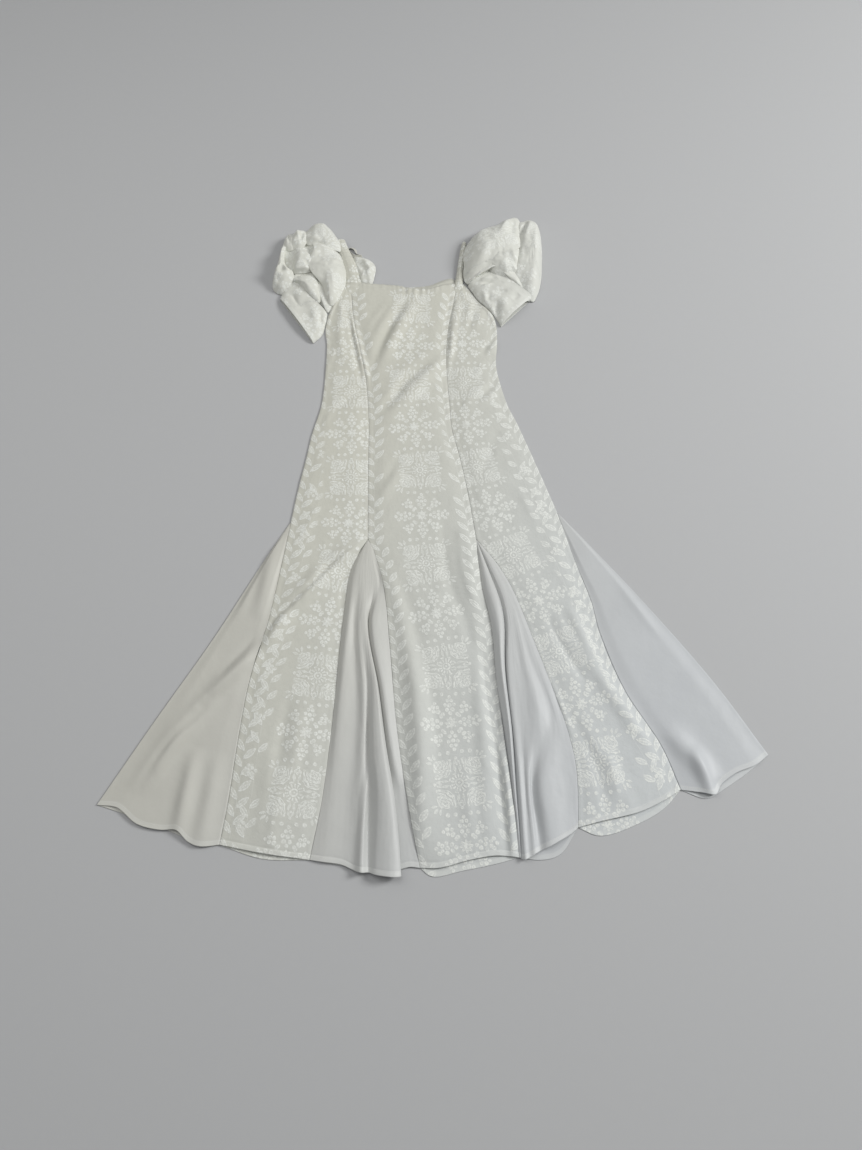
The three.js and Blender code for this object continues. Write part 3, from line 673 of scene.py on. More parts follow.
def sew(node, lines, sizes):
    """Lay a row of stitches on a piece's cloth along each line of points."""
    points, edges = [], []
    for line in lines:
        start = len(points)
        points += [(x * MM, y * MM, (z + CLOTH / 2) * MM) for x, y, z in line.tolist()]
        edges += [(start + i, start + i + 1) for i in range(len(line) - 1)]
    mesh = bpy.data.meshes.new(node + "_stitches")
    mesh.from_pydata(points, edges, [])
    row = bpy.data.objects.new(node + "_stitches", mesh)
    bpy.context.scene.collection.objects.link(row)
    tree, inputs = stitch_tree()
    stitching = row.modifiers.new("stitches", "NODES")
    stitching.node_group = tree
    stitching[inputs["Pitch"]] = sizes.stitch_pitch
    stitching[inputs["Width"]] = sizes.stitch_width
    stitching[inputs["Thread"]] = material("sewing_thread")
    bake_modifiers(row)
    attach(row, BODY)


# Shader maths

# Finish of every surface, and the relief of cloth and of thread, in metres.
SHEEN_ROUGHNESS = 0.4
SPECULAR = 0.35
CLOTH_RELIEF = 0.0006
THREAD_RELIEF = 0.0001


class Wire:
    """A number in a material's node tree that takes part in ordinary sums."""

    def __init__(self, recipe, socket):
        self.recipe = recipe
        self.socket = socket

    def _math(self, operation, *values):
        return self.recipe.node("ShaderNodeMath", {"operation": operation}, dict(enumerate(values)))

    def __add__(self, other):
        return self._math("ADD", self, other)

    def __sub__(self, other):
        return self._math("SUBTRACT", self, other)

    def __rsub__(self, other):
        return self._math("SUBTRACT", other, self)

    def __mul__(self, other):
        return self._math("MULTIPLY", self, other)

    def __truediv__(self, other):
        return self._math("DIVIDE", self, other)

    def __mod__(self, other):
        return self._math("FLOORED_MODULO", self, other)

    def __pow__(self, other):
        return self._math("POWER", self, other)

    def __abs__(self):
        return self._math("ABSOLUTE", self)

    def __gt__(self, other):
        return self._math("GREATER_THAN", self, other)

    __radd__ = __add__
    __rmul__ = __mul__

    def floor(self):
        return self._math("FLOOR", self)

    def cosine(self):
        return self._math("COSINE", self)

    def larger(self, other):
        """The larger of two numbers, which lays one part of a print over another."""
        return self._math("MAXIMUM", self, other)

    def smaller(self, other):
        return self._math("MINIMUM", self, other)

    def angle_to(self, across):
        return self._math("ARCTAN2", self, across)


class Recipe:
    """A material and its node tree."""

    def __init__(self, name):
        self.material = bpy.data.materials.new(name)
        self.material.use_nodes = True
        self.tree = self.material.node_tree
        self.tree.nodes.clear()

    def node(self, kind, settings=None, sockets=None, out=0):
        """Add a node with its settings, then its sockets' values or links; give one output."""
        made = self.tree.nodes.new(kind)
        for name, value in (settings or {}).items():
            setattr(made, name, value)
        for key, value in (sockets or {}).items():
            if isinstance(value, Wire):
                self.tree.links.new(value.socket, made.inputs[key])
            else:
                made.inputs[key].default_value = value
        if not made.outputs:
            return None
        return Wire(self, made.outputs[out])

    def mix(self, share, first, second):
        """Colour between two others; each may be a plain colour."""
        colours = [c if isinstance(c, Wire) else (*c, 1.0) for c in (first, second)]
        return self.node("ShaderNodeMix", {"data_type": "RGBA"},
                         {0: share, 6: colours[0], 7: colours[1]}, out=2)

    def fade(self, value, inner, outer):
        """1 where a value is under inner, 0 where it is over outer, smooth between."""
        return self.node("ShaderNodeMapRange", {"interpolation_type": "SMOOTHSTEP"},
                         {"Value": value, "From Min": inner, "From Max": outer, "To Min": 1.0,
                          "To Max": 0.0})

    def pair(self, across, along):
        """Two numbers as one flat place."""
        return self.node("ShaderNodeCombineXYZ", {}, {0: across, 1: along})

    def away(self, place, x, y):
        """Distance of a flat place from a fixed point."""
        return self.node("ShaderNodeVectorMath", {"operation": "DISTANCE"},
                         {0: place, 1: (x, y, 0.0)}, out=1)

    def noise(self, place, scale, detail=2.0, rough=0.5):
        """Soft noise from 0 to 1 over the garment."""
        return self.node("ShaderNodeTexNoise", {"noise_dimensions": "3D"},
                         {"Vector": place, "Scale": scale, "Detail": detail, "Roughness": rough})

    def map_parts(self, name):
        """Both numbers of a UV map, in millimetres."""
        uv = self.node("ShaderNodeUVMap", {"uv_map": name})
        parts = self.tree.nodes.new("ShaderNodeSeparateXYZ")
        self.tree.links.new(uv.socket, parts.inputs[0])
        return Wire(self, parts.outputs[0]) / MM, Wire(self, parts.outputs[1]) / MM

    def surface(self, colour, roughness, height=None, height_scale=CLOTH_RELIEF, sheen=0.0):
        """Finish the material with its shader and output."""
        sockets = {"Base Color": colour, "Roughness": roughness, "Sheen Weight": sheen,
                   "Sheen Roughness": SHEEN_ROUGHNESS, "Specular IOR Level": SPECULAR}
        if height is not None:
            sockets["Normal"] = self.node(
                "ShaderNodeBump", {}, {"Strength": 1.0, "Distance": height_scale, "Height": height})
        shader = self.node("ShaderNodeBsdfPrincipled", {}, sockets)
        self.node("ShaderNodeOutputMaterial", {}, {"Surface": shader})
        return self.material


# Print

# Distance between medallions along a column, and how far the print's lines wander.
PITCH = 109.0
PRINT_WOBBLE = 3.4

# Motifs of a medallion in one eighth of it, which is mirrored round its middle. Columns of a leaf:
# place along and across the axis, half length, half width, turn in degrees. Columns of a flower:
# place along and across, radius. Columns of a hoop: radius, its full and its outer half width.
ROSE_LEAVES = ((25.5, 4.4, 7.5, 2.6, 8), (37, 3.8, 5.4, 2.4, -22), (49, 39, 6.5, 2.6, 12),
               (47, 46.5, 6.5, 2.4, 45))
ROSE_BUDS = ((33.5, 0, 2.6), (44, 0, 3.0), (22, 13, 2.3), (41, 11, 2.2))
ROSE_PLACE = (31.5, 29.5)
ROSE_RING = (6.2, 1.1, 2.1)
ROSE_RAYS = (12.2, 2.6, 3.6)
ROSE_HALO = (17.6, 0.9, 1.9)
ROSE_PETALS = ((6.2, 1.1, 2.4), (10.4, 0.9, 2.1))
ROSE_ARCS = ((14.8, 0.9, 2.0), (18.9, 0.6, 1.7))
STAR_FLOWERS = ((18, 0, 3.8), (25, 5.2, 4.0), (33, 0, 4.2), (34.5, 8.2, 3.6), (42, 3.8, 3.6),
                (16.5, 13.5, 3.8), (22, 21, 4.2), (30, 22.5, 3.8), (30.5, 30.5, 4.0), (37.5, 27, 3.0))

# Dots beside a star and in the row between medallions. Columns: place across and along, radius.
STAR_DOTS = ((52.5, 0, 3.8), (47.5, 8, 3.8))
ROW_DOT = (7.0, 54.5, 3.8)
ROW_DOT_COLUMN = 20.0

# Vines along the seams and the bands. Columns: distance of the stem from the edge, distance between
# leaves, half length and half width of a leaf, share of leaves that are missing.
SEAM_VINE = (13.0, 29.0, 16.0, 6.2, 0.1)
BAND_VINE = (15, 29.0, 16.5, 6.2, 0.1)
OUTER_VINE = (40, 33.0, 15.0, 5.8, 0.25)
OUTER_VINE_SHIFT = 9
LEAF_TURN = 47

# Knots of flowers in a band: how far apart, and the flowers' place from the edge and along, radius.
KNOT_PITCH = 96.0
KNOT_FLOWERS = ((28, 0, 4.2), (34, 6, 3.8), (35, -4, 3.8), (27, 9, 3.4), (41, 2, 3.6), (25, -8, 3.2))

# Noise scales of the cloth, in repeats a metre.
WOBBLE_SCALES = (85.0, 103.0)
THREAD_GAPS = 250.0
WORN_PATCHES = 26.0
# Scale of the ground's faint mottling, painted shade of small streaks along the weave.
WEAVE_SHADE_FLECKS = 140.0
WEAVE = 1500.0
SLUBS = 420.0
RUMPLES = 34.0
SATIN_CLOUDS = 9.0
SATIN_GRAIN = 1300.0
SATIN_RUMPLES = 24.0
THREAD_TWIST = 2600.0

# Painted light: tints of a warmer, dimmer light on the garment's left side and of a cooler light on its
# right, the places between which they change, in metres, and how far the change leans over with the
# garment's length.
WARM_LIGHT_TINT = (0.99, 0.96, 0.89)
COOL_LIGHT_TINT = (0.97, 0.985, 1.04)
TINT_ENDS = (-0.4, 0.6)
TINT_LEAN = 0.45

# How much white a layer adds under another one; on hems and edges this whiteness is partly a painted
# highlight.
LAYER_AND_HIGHLIGHT_WHITE = 0.2


def hoop(recipe, away, radius, full, outer):
    """A ring of a given radius round a middle, soft at its edges."""
    return recipe.fade(abs(away - radius), full, outer)


def blossom(recipe, place, x, y, radius):
    """A small round flower with an open eye."""
    away = recipe.away(place, x, y)
    return recipe.fade(away, radius * 0.7, radius * 1.2) * (1 - 0.45 * recipe.fade(away, 0.5, 1.3))


def leaf_print(recipe, across, along, x, y, half_length, half_width, turn):
    """A pointed leaf with an outline and a vein."""
    c, s = math.cos(math.radians(turn)), math.sin(math.radians(turn))
    dx, dy = across - x, along - y
    a = (dx * c + dy * s) / half_length
    b = (dy * c - dx * s) / half_width
    reach = abs(b) + a * a
    whole = recipe.fade(reach, 0.84, 1.08)
    inside = recipe.fade(reach, 0.5, 0.7)
    vein = recipe.fade(abs(b), 0.08, 0.24)
    return whole * (1 - 0.5 * inside * (1 - vein))


def rose_medallion(recipe, s, t):
    """Ringed centre with rays, leaves and buds along the axes, and roses on the diagonals."""
    radius = (s * s + t * t) ** 0.5
    turn = t.angle_to(s)
    a, b = abs(s).larger(abs(t)), abs(s).smaller(abs(t))
    folded = recipe.pair(a, b)
    ring = hoop(recipe, radius, *ROSE_RING)
    eye = recipe.fade(radius, 1.6, 2.6)
    rays = hoop(recipe, radius, *ROSE_RAYS) * recipe.fade((turn * 14).cosine(), -0.2, 0.5)
    halo = hoop(recipe, radius, *ROSE_HALO) * recipe.fade((turn * 8).cosine(), -0.3, 0.3)
    print_mask = ring.larger(eye).larger(rays).larger(halo)
    for leaf in ROSE_LEAVES:
        print_mask = print_mask.larger(leaf_print(recipe, a, b, *leaf))
    for bud in ROSE_BUDS:
        print_mask = print_mask.larger(blossom(recipe, folded, *bud))
    x, y = ROSE_PLACE
    rose = recipe.away(folded, x, y)
    rose = rose + 1.3 * ((b - y).angle_to(a - x) * 5 + rose * 0.45).cosine()
    heart = recipe.fade(rose, 1.8, 3.4)
    inner, outer = (hoop(recipe, rose, *petal) for petal in ROSE_PETALS)
    petals = inner.larger(outer * 0.9)
    inner_side = recipe.fade(a + b, 50, 62)
    near, far = (hoop(recipe, rose, *arc) for arc in ROSE_ARCS)
    arcs = near.larger(far)
    return print_mask.larger(heart).larger(petals).larger(arcs * inner_side)


def blossom_star(recipe, s, t):
    """Leafy centre with eight arms of small flowers, dots at its sides and one at each tip."""
    radius = (s * s + t * t) ** 0.5
    turn = t.angle_to(s)
    a, b = abs(s).larger(abs(t)), abs(s).smaller(abs(t))
    folded = recipe.pair(a, b)
    leafy = recipe.fade(radius - 2.4 * (turn * 8).cosine(), 9.4, 10.6)
    veins = recipe.fade((turn * 16).cosine(), 0.72, 0.98) + recipe.fade(radius, 3.5, 5.0)
    print_mask = leafy * (0.55 + 0.45 * veins.smaller(1.0))
    for flower in STAR_FLOWERS:
        print_mask = print_mask.larger(blossom(recipe, folded, *flower))
    sides = recipe.pair(abs(s), abs(t))
    for dot in STAR_DOTS:
        print_mask = print_mask.larger(blossom(recipe, sides, *dot))
    tips = recipe.away(sides, 0, 49)
    return print_mask.larger(recipe.fade(tips, 3.0, 4.0))


def vine(recipe, away, along, line, period, half_length, half_width, missing):
    """Leaves that alternate from side to side of a stem, some of them missing."""
    outer = away > line
    place = along / period + outer * 0.5
    cell = place.floor()
    rise = (place - cell - 0.5) * period
    chance = recipe.node("ShaderNodeTexWhiteNoise", {"noise_dimensions": "1D"},
                         {"W": cell * 2 + 0.37 + outer})
    leaf = leaf_print(recipe, abs(away - line), rise, half_length * 0.62, 0.0, half_length,
                      half_width, LEAF_TURN)
    stem = recipe.fade(abs(away - line), 0.3, 1.2) * 0.22
    return (leaf * (chance > missing)).larger(stem)


def band(recipe, away, along):
    """Thick band of leaves with knots of small flowers."""
    inner = vine(recipe, away, along, *BAND_VINE)
    outer = vine(recipe, away, along + OUTER_VINE_SHIFT, *OUTER_VINE)
    print_mask = inner.larger(outer)
    cell = (along / KNOT_PITCH).floor()
    place = recipe.pair(away, along - (cell + 0.5) * KNOT_PITCH)
    for flower in KNOT_FLOWERS:
        print_mask = print_mask.larger(blossom(recipe, place, *flower))
    return print_mask * recipe.fade(away, 54, 58)


def side_light_tint(recipe, place, colour, level):
    """A colour with painted light: a little warm on the garment's left side and a little cool on its right.
    """
    split = recipe.tree.nodes.new("ShaderNodeSeparateXYZ")
    recipe.tree.links.new(place.socket, split.inputs[0])
    across, along = (Wire(recipe, split.outputs[i]) for i in (0, 1))
    share = recipe.fade(across - TINT_LEAN * along, *TINT_ENDS)
    warm, cool = ([c * f * level for c, f in zip(colour, tint)] for tint in (WARM_LIGHT_TINT, COOL_LIGHT_TINT))
    return recipe.mix(share, cool, warm)


def whiter_layers_and_highlight(recipe, cloth, colours):
    """Cloth that looks whiter where it lies in two layers or heaped, partly because thicker cloth is less
    see-through and partly as a painted highlight on turned hems and edges.
    """
    layers = recipe.node("ShaderNodeAttribute", {"attribute_name": "layers_and_highlight"}, out=2)
    return recipe.mix(layers * LAYER_AND_HIGHLIGHT_WHITE, cloth, colours.blossom)


def print_of_panels(recipe, place):
    """Where the printed cloth is white: medallions, vines and bands, from 0 to 1."""
    s, t = (part + (recipe.noise(place, scale, 1.0) - 0.5) * PRINT_WOBBLE
            for part, scale in zip(recipe.map_parts("print"), WOBBLE_SCALES))
    cell = (t / PITCH + 0.5).floor()
    rise = t - cell * PITCH
    star_row = cell % 2.0
    stars = blossom_star(recipe, s, rise)
    roses = rose_medallion(recipe, s, rise)
    medallions = stars * star_row + roses * (1 - star_row)
    between = recipe.pair(abs(abs(s) - ROW_DOT_COLUMN), abs(rise))
    medallions = medallions.larger(blossom(recipe, between, *ROW_DOT))
    vine_away, vine_along = recipe.map_parts("vine")
    clear = recipe.fade(30.0 - abs(s) * 0.45, 2.0, 6.0)
    leaves = vine(recipe, vine_away, vine_along, *SEAM_VINE)
    leaves = leaves * recipe.fade(vine_away, 31, 34) * clear
    bands = band(recipe, *recipe.map_parts("band")) * clear
    return medallions.larger(leaves).larger(bands)


def printed_cloth(colours):
    """Off-white cloth with a soft, brighter print of medallions and vines."""
    recipe = Recipe("muumuu_print")
    place = recipe.node("ShaderNodeTexCoord", out=3)
    threads = 1 - recipe.fade(recipe.noise(place, THREAD_GAPS, 2.0, 0.6), 0.38, 0.6)
    worn = recipe.noise(place, WORN_PATCHES, 2.0)
    mask = print_of_panels(recipe, place)
    mask = mask * (0.36 + 0.64 * threads) * (0.72 + 0.56 * worn).smaller(1.0)
    # Faint mottling of the ground: painted shade of small streaks along the weave.
    weave_shade_fleck = recipe.noise(place, WEAVE_SHADE_FLECKS, 2.0, 0.6)
    # The ground carries the painted warm and cool light of the garment's sides.
    ground = recipe.mix(weave_shade_fleck, side_light_tint(recipe, place, colours.ground, 0.97),
                        side_light_tint(recipe, place, colours.ground, 1.05))
    cloth = whiter_layers_and_highlight(recipe, recipe.mix(mask * 0.92, ground, colours.blossom), colours)
    weave = recipe.noise(place, WEAVE, 1.0) + 0.35 * recipe.noise(place, SLUBS, 2.0)
    height = weave * 0.25 + mask * 0.5 + 2.4 * recipe.noise(place, RUMPLES, 3.0, 0.55)
    roughness = 0.72 - 0.1 * mask
    return recipe.surface(cloth, roughness, height, sheen=0.12)


def plain_satin(colours):
    """Smooth off-white cloth with a low sheen."""
    recipe = Recipe("muumuu_satin")
    place = recipe.node("ShaderNodeTexCoord", out=3)
    cloud = recipe.noise(place, SATIN_CLOUDS, 2.0)
    # The satin carries the same painted warm and cool light of the sides.
    base = recipe.mix(cloud, side_light_tint(recipe, place, colours.satin, 0.96),
                      side_light_tint(recipe, place, colours.satin, 1.04))
    cloth = whiter_layers_and_highlight(recipe, base, colours)
    grain = recipe.noise(place, SATIN_GRAIN, 1.0)
    height = grain * 0.16 + 2.0 * recipe.noise(place, SATIN_RUMPLES, 3.0, 0.5)
    return recipe.surface(cloth, roughness=0.46, height=height, sheen=0.08)


def thread_material(colours):
    """Twisted sewing thread."""
    recipe = Recipe("sewing_thread")
    place = recipe.node("ShaderNodeTexCoord", out=3)
    twist = recipe.noise(place, THREAD_TWIST, 1.0)
    colour = recipe.mix(twist, [c * 0.86 for c in colours.thread], colours.thread)
    return recipe.surface(colour, roughness=0.6, height=twist, height_scale=THREAD_RELIEF)


# Materials by name, kept here once they are made.
MATERIALS = {}


def material(name):
    """A material by name, made when it is first asked for."""
    makers = {"printed_cloth": printed_cloth, "plain_satin": plain_satin,
              "sewing_thread": thread_material}
    if name not in MATERIALS:
        MATERIALS[name] = makers[name](bpy.context.scene.muumuu_colours)
    return MATERIALS[name]


# Panels

# Even rows of the panels' low and top parts, the columns of each panel's grid, and the even rows and
# the columns of the folded godets.
FRONT_ROWS = (96, 104)
BACK_ROWS = (60, 60)
PANEL_COLUMNS = {
    "front_centre": 110,
    "front_side_left": 70,
    "front_side_right": 80,
    "back_centre": 30,
    "back_side_left": 22,
    "back_side_right": 24,
    "godet_back_left": 24,
    "godet_back_right": 20,
}
GODET_ROWS = 112
GODET_COLUMNS = 176
SIDE_ROWS = 90
SIDE_COLUMNS = 64

# Rise of the cloth between the seams: of a front panel, and of a side godet's front.
LOFT = 3.4
SIDE_LOFT = 2.6

# Slow waves of the front. Columns: height, size, seed.
FRONT_WAVES = ((0.7, 46.0, 0.0), (0.3, 17.0, 4.0))

# Shifts along the seams of the vine on a panel's right and of the bands.
VINE_SHIFT = 23.0
BAND_SHIFT = 11.0

# Middle of the gathers at the front's neck, and how deep they may pull the cloth.
GATHERS_MIDDLE = -38
DEEPEST_GATHER = -3.0

# Half width of the dent that a row of stitches makes above a hem.
STITCH_DENT = 1.6

# Angles round the fold at a side godet's outer edge, from its front half to its back one.
FOLD_ANGLES = (70, 45, 20, 0, -20, -45, -70)


def panel_plan(left, right, hem, top="", top_row=1.0):
    """Plan of a panel between two seams, by the names of its seams and free edges."""
    return patch(beside_seam(left, 1), beside_seam(right, -1), EDGES[hem],
                 EDGES[top] if top else (), top_row)


def from_sides(xy):
    """Distances of a panel's points from the ends of their rows, on its left and its right."""
    return {side: np.linalg.norm(xy - end, axis=-1)
            for side, end in (("left", xy[:, :1]), ("right", xy[:, -1:]))}


def panel_maps(xy, column, seam_edges, band_edge):
    """Maps of the print on a panel: its column, its nearest plain seam and its band."""
    x, y = xy[..., 0], xy[..., 1]
    off, run = on_column(column, x, y)
    maps = {"print": np.stack([off, run], axis=-1)}
    length = along_rows(xy)
    edges = from_sides(xy)
    nearest = np.min([edges[side] for side in seam_edges], axis=0)
    phase = np.where(edges["left"] < edges["right"], 0.0, VINE_SHIFT)
    maps["vine"] = np.stack([nearest, length + phase], axis=-1)
    if band_edge:
        maps["band"] = np.stack([edges[band_edge], length + BAND_SHIFT], axis=-1)
    return maps


def hem_share(length, depth):
    """1 on the turned-up hem, 0 above it."""
    return 1 - smooth(unit_share((length / depth - 0.9) / 0.2))


def hem_relief(length, depth, rise, dent):
    """Rise of a turned-up hem over one layer, with the dent of its stitches."""
    return rise * hem_share(length, depth) - dent * bell(length, depth, STITCH_DENT)


def front_height(x, y, length, away, sizes):
    """Middle height of the front's cloth, which lies a little loose between its seams."""
    loft = LOFT * (1 - bell(away, 0, 20.0)) * (0.55 + 0.45 * smooth(unit_share(length / 60.0)))
    creases = crease_height(LONG_CREASES, x, y) * (1 - 0.75 * bell(away, 0, 5.0))
    fine = sizes.crease_share * ridge_height(FINE_CREASES, x, y)
    waves = sum(height * crumple(x, y, size, seed) for height, size, seed in FRONT_WAVES)
    hem = hem_relief(length, sizes.hem_depth / MM, 0.5, 0.6)
    return FRONT + CLOTH / 2 + ridge_height(RIDGES, x, y) + creases + fine + loft + 0.4 + waves + hem


def neck_gathers(x, below):
    """Small ripples under a gathered neck edge, deepest in its middle."""
    ripple = np.sin(x / 2.1 + 2.2 * np.sin(x / 13.0)) + 0.6 * np.sin(x / 3.7 + 1.0)
    middle = 0.25 + 0.8 * bell(x, GATHERS_MIDDLE, 30.0)
    fall = np.exp(-below / 15.0)
    casing_relief = 0.8 * bell(below, 5, 4.0) - 0.9 * bell(below, 12, 2.4)
    return (1.4 + 1.4 * ripple) * middle * fall + casing_relief


def seam_dip(away):
    """Fall of the cloth into a seam, by the distance from it."""
    return -0.5 * bell(away, 0, 2.2) + 0.25 * bell(away, 5, 2.6)


def panel_grid(plan, columns, rows):
    """Plan points of a panel, closer together at its sides."""
    share = np.linspace(0, 1, columns)
    eased = 0.82 * share + 0.18 * smooth(share)
    u, v = np.meshgrid(eased, rows)
    return plan(u, v)


def front_panel(node, plan, column, seam_edges, band_edge, sizes, neck=False):
    """A printed panel of the front."""
    low = rows_with_hem(FRONT_ROWS[0], GODET_TOP, sizes.hem_depth / MM)
    rows = np.concatenate([low, np.linspace(APEX, 1, FRONT_ROWS[1])])
    xy = panel_grid(plan, PANEL_COLUMNS[node], rows)
    length = along_rows(xy)
    x, y = xy[..., 0], xy[..., 1]
    away = np.minimum(*from_sides(xy).values())
    z = front_height(x, y, length, away, sizes) + seam_dip(away)
    if neck:
        below = length[-1:] - length
        z = z + np.maximum(neck_gathers(x, below), DEEPEST_GATHER)
    z = np.maximum(z, FRONT + CLOTH / 2)
    grid = np.dstack([x, y, z])
    sheets = Sheets()
    sheets.add(grid, panel_maps(xy, column, seam_edges, band_edge),
               hem_share(length, sizes.hem_depth / MM))
    piece = sheets.piece(node + "_cloth", material("printed_cloth"), CLOTH)
    hand_over(piece, node)
    lines = [grid[HEM_STITCH_ROW]] + ([grid[NECK_STITCH_ROW]] if neck else [])
    sew(node, lines, sizes)


def back_panel(node, plan, slot, sizes, column=None, seam_edges=(), band_edge=None, top=1.0):
    """A panel of the back, flat on the surface under the front."""
    rows = rows_with_hem(BACK_ROWS[0], min(top, GODET_POINT), sizes.hem_depth / MM)
    if top == 1.0:
        rows = np.concatenate([rows, np.linspace(APEX, 1, BACK_ROWS[1])])
    xy = panel_grid(plan, PANEL_COLUMNS[node], rows)
    length = along_rows(xy)
    x, y = xy[..., 0], xy[..., 1]
    z = np.full_like(x, CLOTH / 2)
    sheets = Sheets()
    maps = panel_maps(xy, column, seam_edges, band_edge) if column else None
    sheets.add(np.dstack([x, y, z]), maps, hem_share(length, sizes.hem_depth / MM))
    piece = sheets.piece(node + "_cloth", material(slot), CLOTH)
    hand_over(piece, node)


def front_godet(node, left_seam, right_seam, folds, sizes):
    """A godet in a front seam, with folds that fan out from its top to the hem."""
    left, right = beside_seam(left_seam, 1), beside_seam(right_seam, -1)
    columns = np.linspace(0, 1, GODET_COLUMNS)
    u, v = np.meshgrid(columns, rows_with_hem(GODET_ROWS, GODET_POINT, sizes.hem_depth / MM))
    opened = 1 - v / APEX
    levels = np.array([level for level, _ in folds["levels"]])
    known = np.array([line for _, line in folds["levels"]], float)
    lines = on_rows(levels, known.reshape(len(levels), -1), opened[:, 0])
    fold = np.stack([spline(line.reshape(-1, 2), even=False)(columns) for line in lines])
    drop = spline([[value] for value in folds["drops"]], even=False)(columns)[:, 0]
    wander = 0.006 * np.sin(v * 31 + u * 9) * np.sin(math.pi * u)
    across = (fold[..., 0] + wander)[..., None]
    xy = left(v) * (1 - across) + right(v) * across
    x, y = xy[..., 0], xy[..., 1] - drop * opened ** 8
    length = along_rows(np.dstack([x, y]))
    depth = sizes.hem_depth / MM
    hem = hem_relief(length, depth, 0.4, 0.4)
    loose = 0.25 + 0.25 * crumple(x + 700 * u, y, 30.0, 2.0)
    z = FRONT + CLOTH / 2 + np.maximum(0, fold[..., 1] + hem + loose)
    grid = np.dstack([x, y, z])
    sheets = Sheets()
    sheets.add(grid, None, hem_share(length, depth))
    piece = sheets.piece(node + "_cloth", material("plain_satin"), CLOTH)
    hand_over(piece, node)
    sew(node, [grid[HEM_STITCH_ROW]], sizes)


def side_godet(node, seam, outer_fold, front_hem, back_hem, side, sizes):
    """A godet in a side seam: its front half, the fold along its outer edge and its back half."""
    inner = beside_seam(seam, side)
    top_y = outer_fold[-1][0]

    def outer(v):
        y = outer_fold[0][0] + (top_y - outer_fold[0][0]) * np.asarray(v, float) / APEX
        return np.stack([on_table(outer_fold, y), y], axis=-1)

    plans = [patch(inner, outer, EDGES[hem], (), GODET_POINT) for hem in (front_hem, back_hem)]
    rows = rows_with_hem(SIDE_ROWS, GODET_POINT, sizes.hem_depth / MM)
    radius = CLOTH / 2 + LAYER_GAP / 2
    reach = outer(rows) - inner(rows)
    out = (reach / np.linalg.norm(reach, axis=-1, keepdims=True))[:, None, :]
    across = np.linspace(0, 1, SIDE_COLUMNS)
    u, v = np.meshgrid(across, rows)
    halves = [plan(u, v) - out * (radius + CLOTH / 2) * u[..., None] for plan in plans]
    front = halves[0]
    length = along_rows(front)
    x, y = front[..., 0], front[..., 1]
    kept = 1 - smooth(unit_share((u - 0.8) / 0.2))
    loft = SIDE_LOFT * smooth(unit_share(u / 0.2)) * smooth(unit_share((1 - v / APEX) * 5))
    lift = (ridge_height(RIDGES, x, y) + sizes.crease_share * ridge_height(FINE_CREASES, x, y)
            + crease_height(LONG_CREASES, x, y) + loft + 0.3 + 0.6 * crumple(x, y, 48.0, 6.0))
    z = FRONT + CLOTH / 2 + np.maximum(lift, 0) * kept
    grids = [np.dstack([x, y, z])]
    for angle in np.radians(FOLD_ANGLES):
        turned = front[:, -1] + out[:, 0] * radius * math.cos(angle)
        level = np.full(len(rows), CLOTH + LAYER_GAP / 2 + radius * math.sin(angle))
        grids.append(np.column_stack([turned, level])[:, None, :])
    back = halves[1][:, ::-1]
    grids.append(np.dstack([back[..., 0], back[..., 1], np.full(u.shape, CLOTH / 2)]))
    grid = np.concatenate(grids, axis=1)
    lengths = along_rows(grid[..., :2])
    sheets = Sheets()
    sheets.add(grid, None, hem_share(lengths, sizes.hem_depth / MM), flip=side < 0)
    piece = sheets.piece(node + "_cloth", material("plain_satin"), CLOTH)
    hand_over(piece, node)
    sew(node, [grid[HEM_STITCH_ROW, :len(across)]], sizes)


# Sleeves

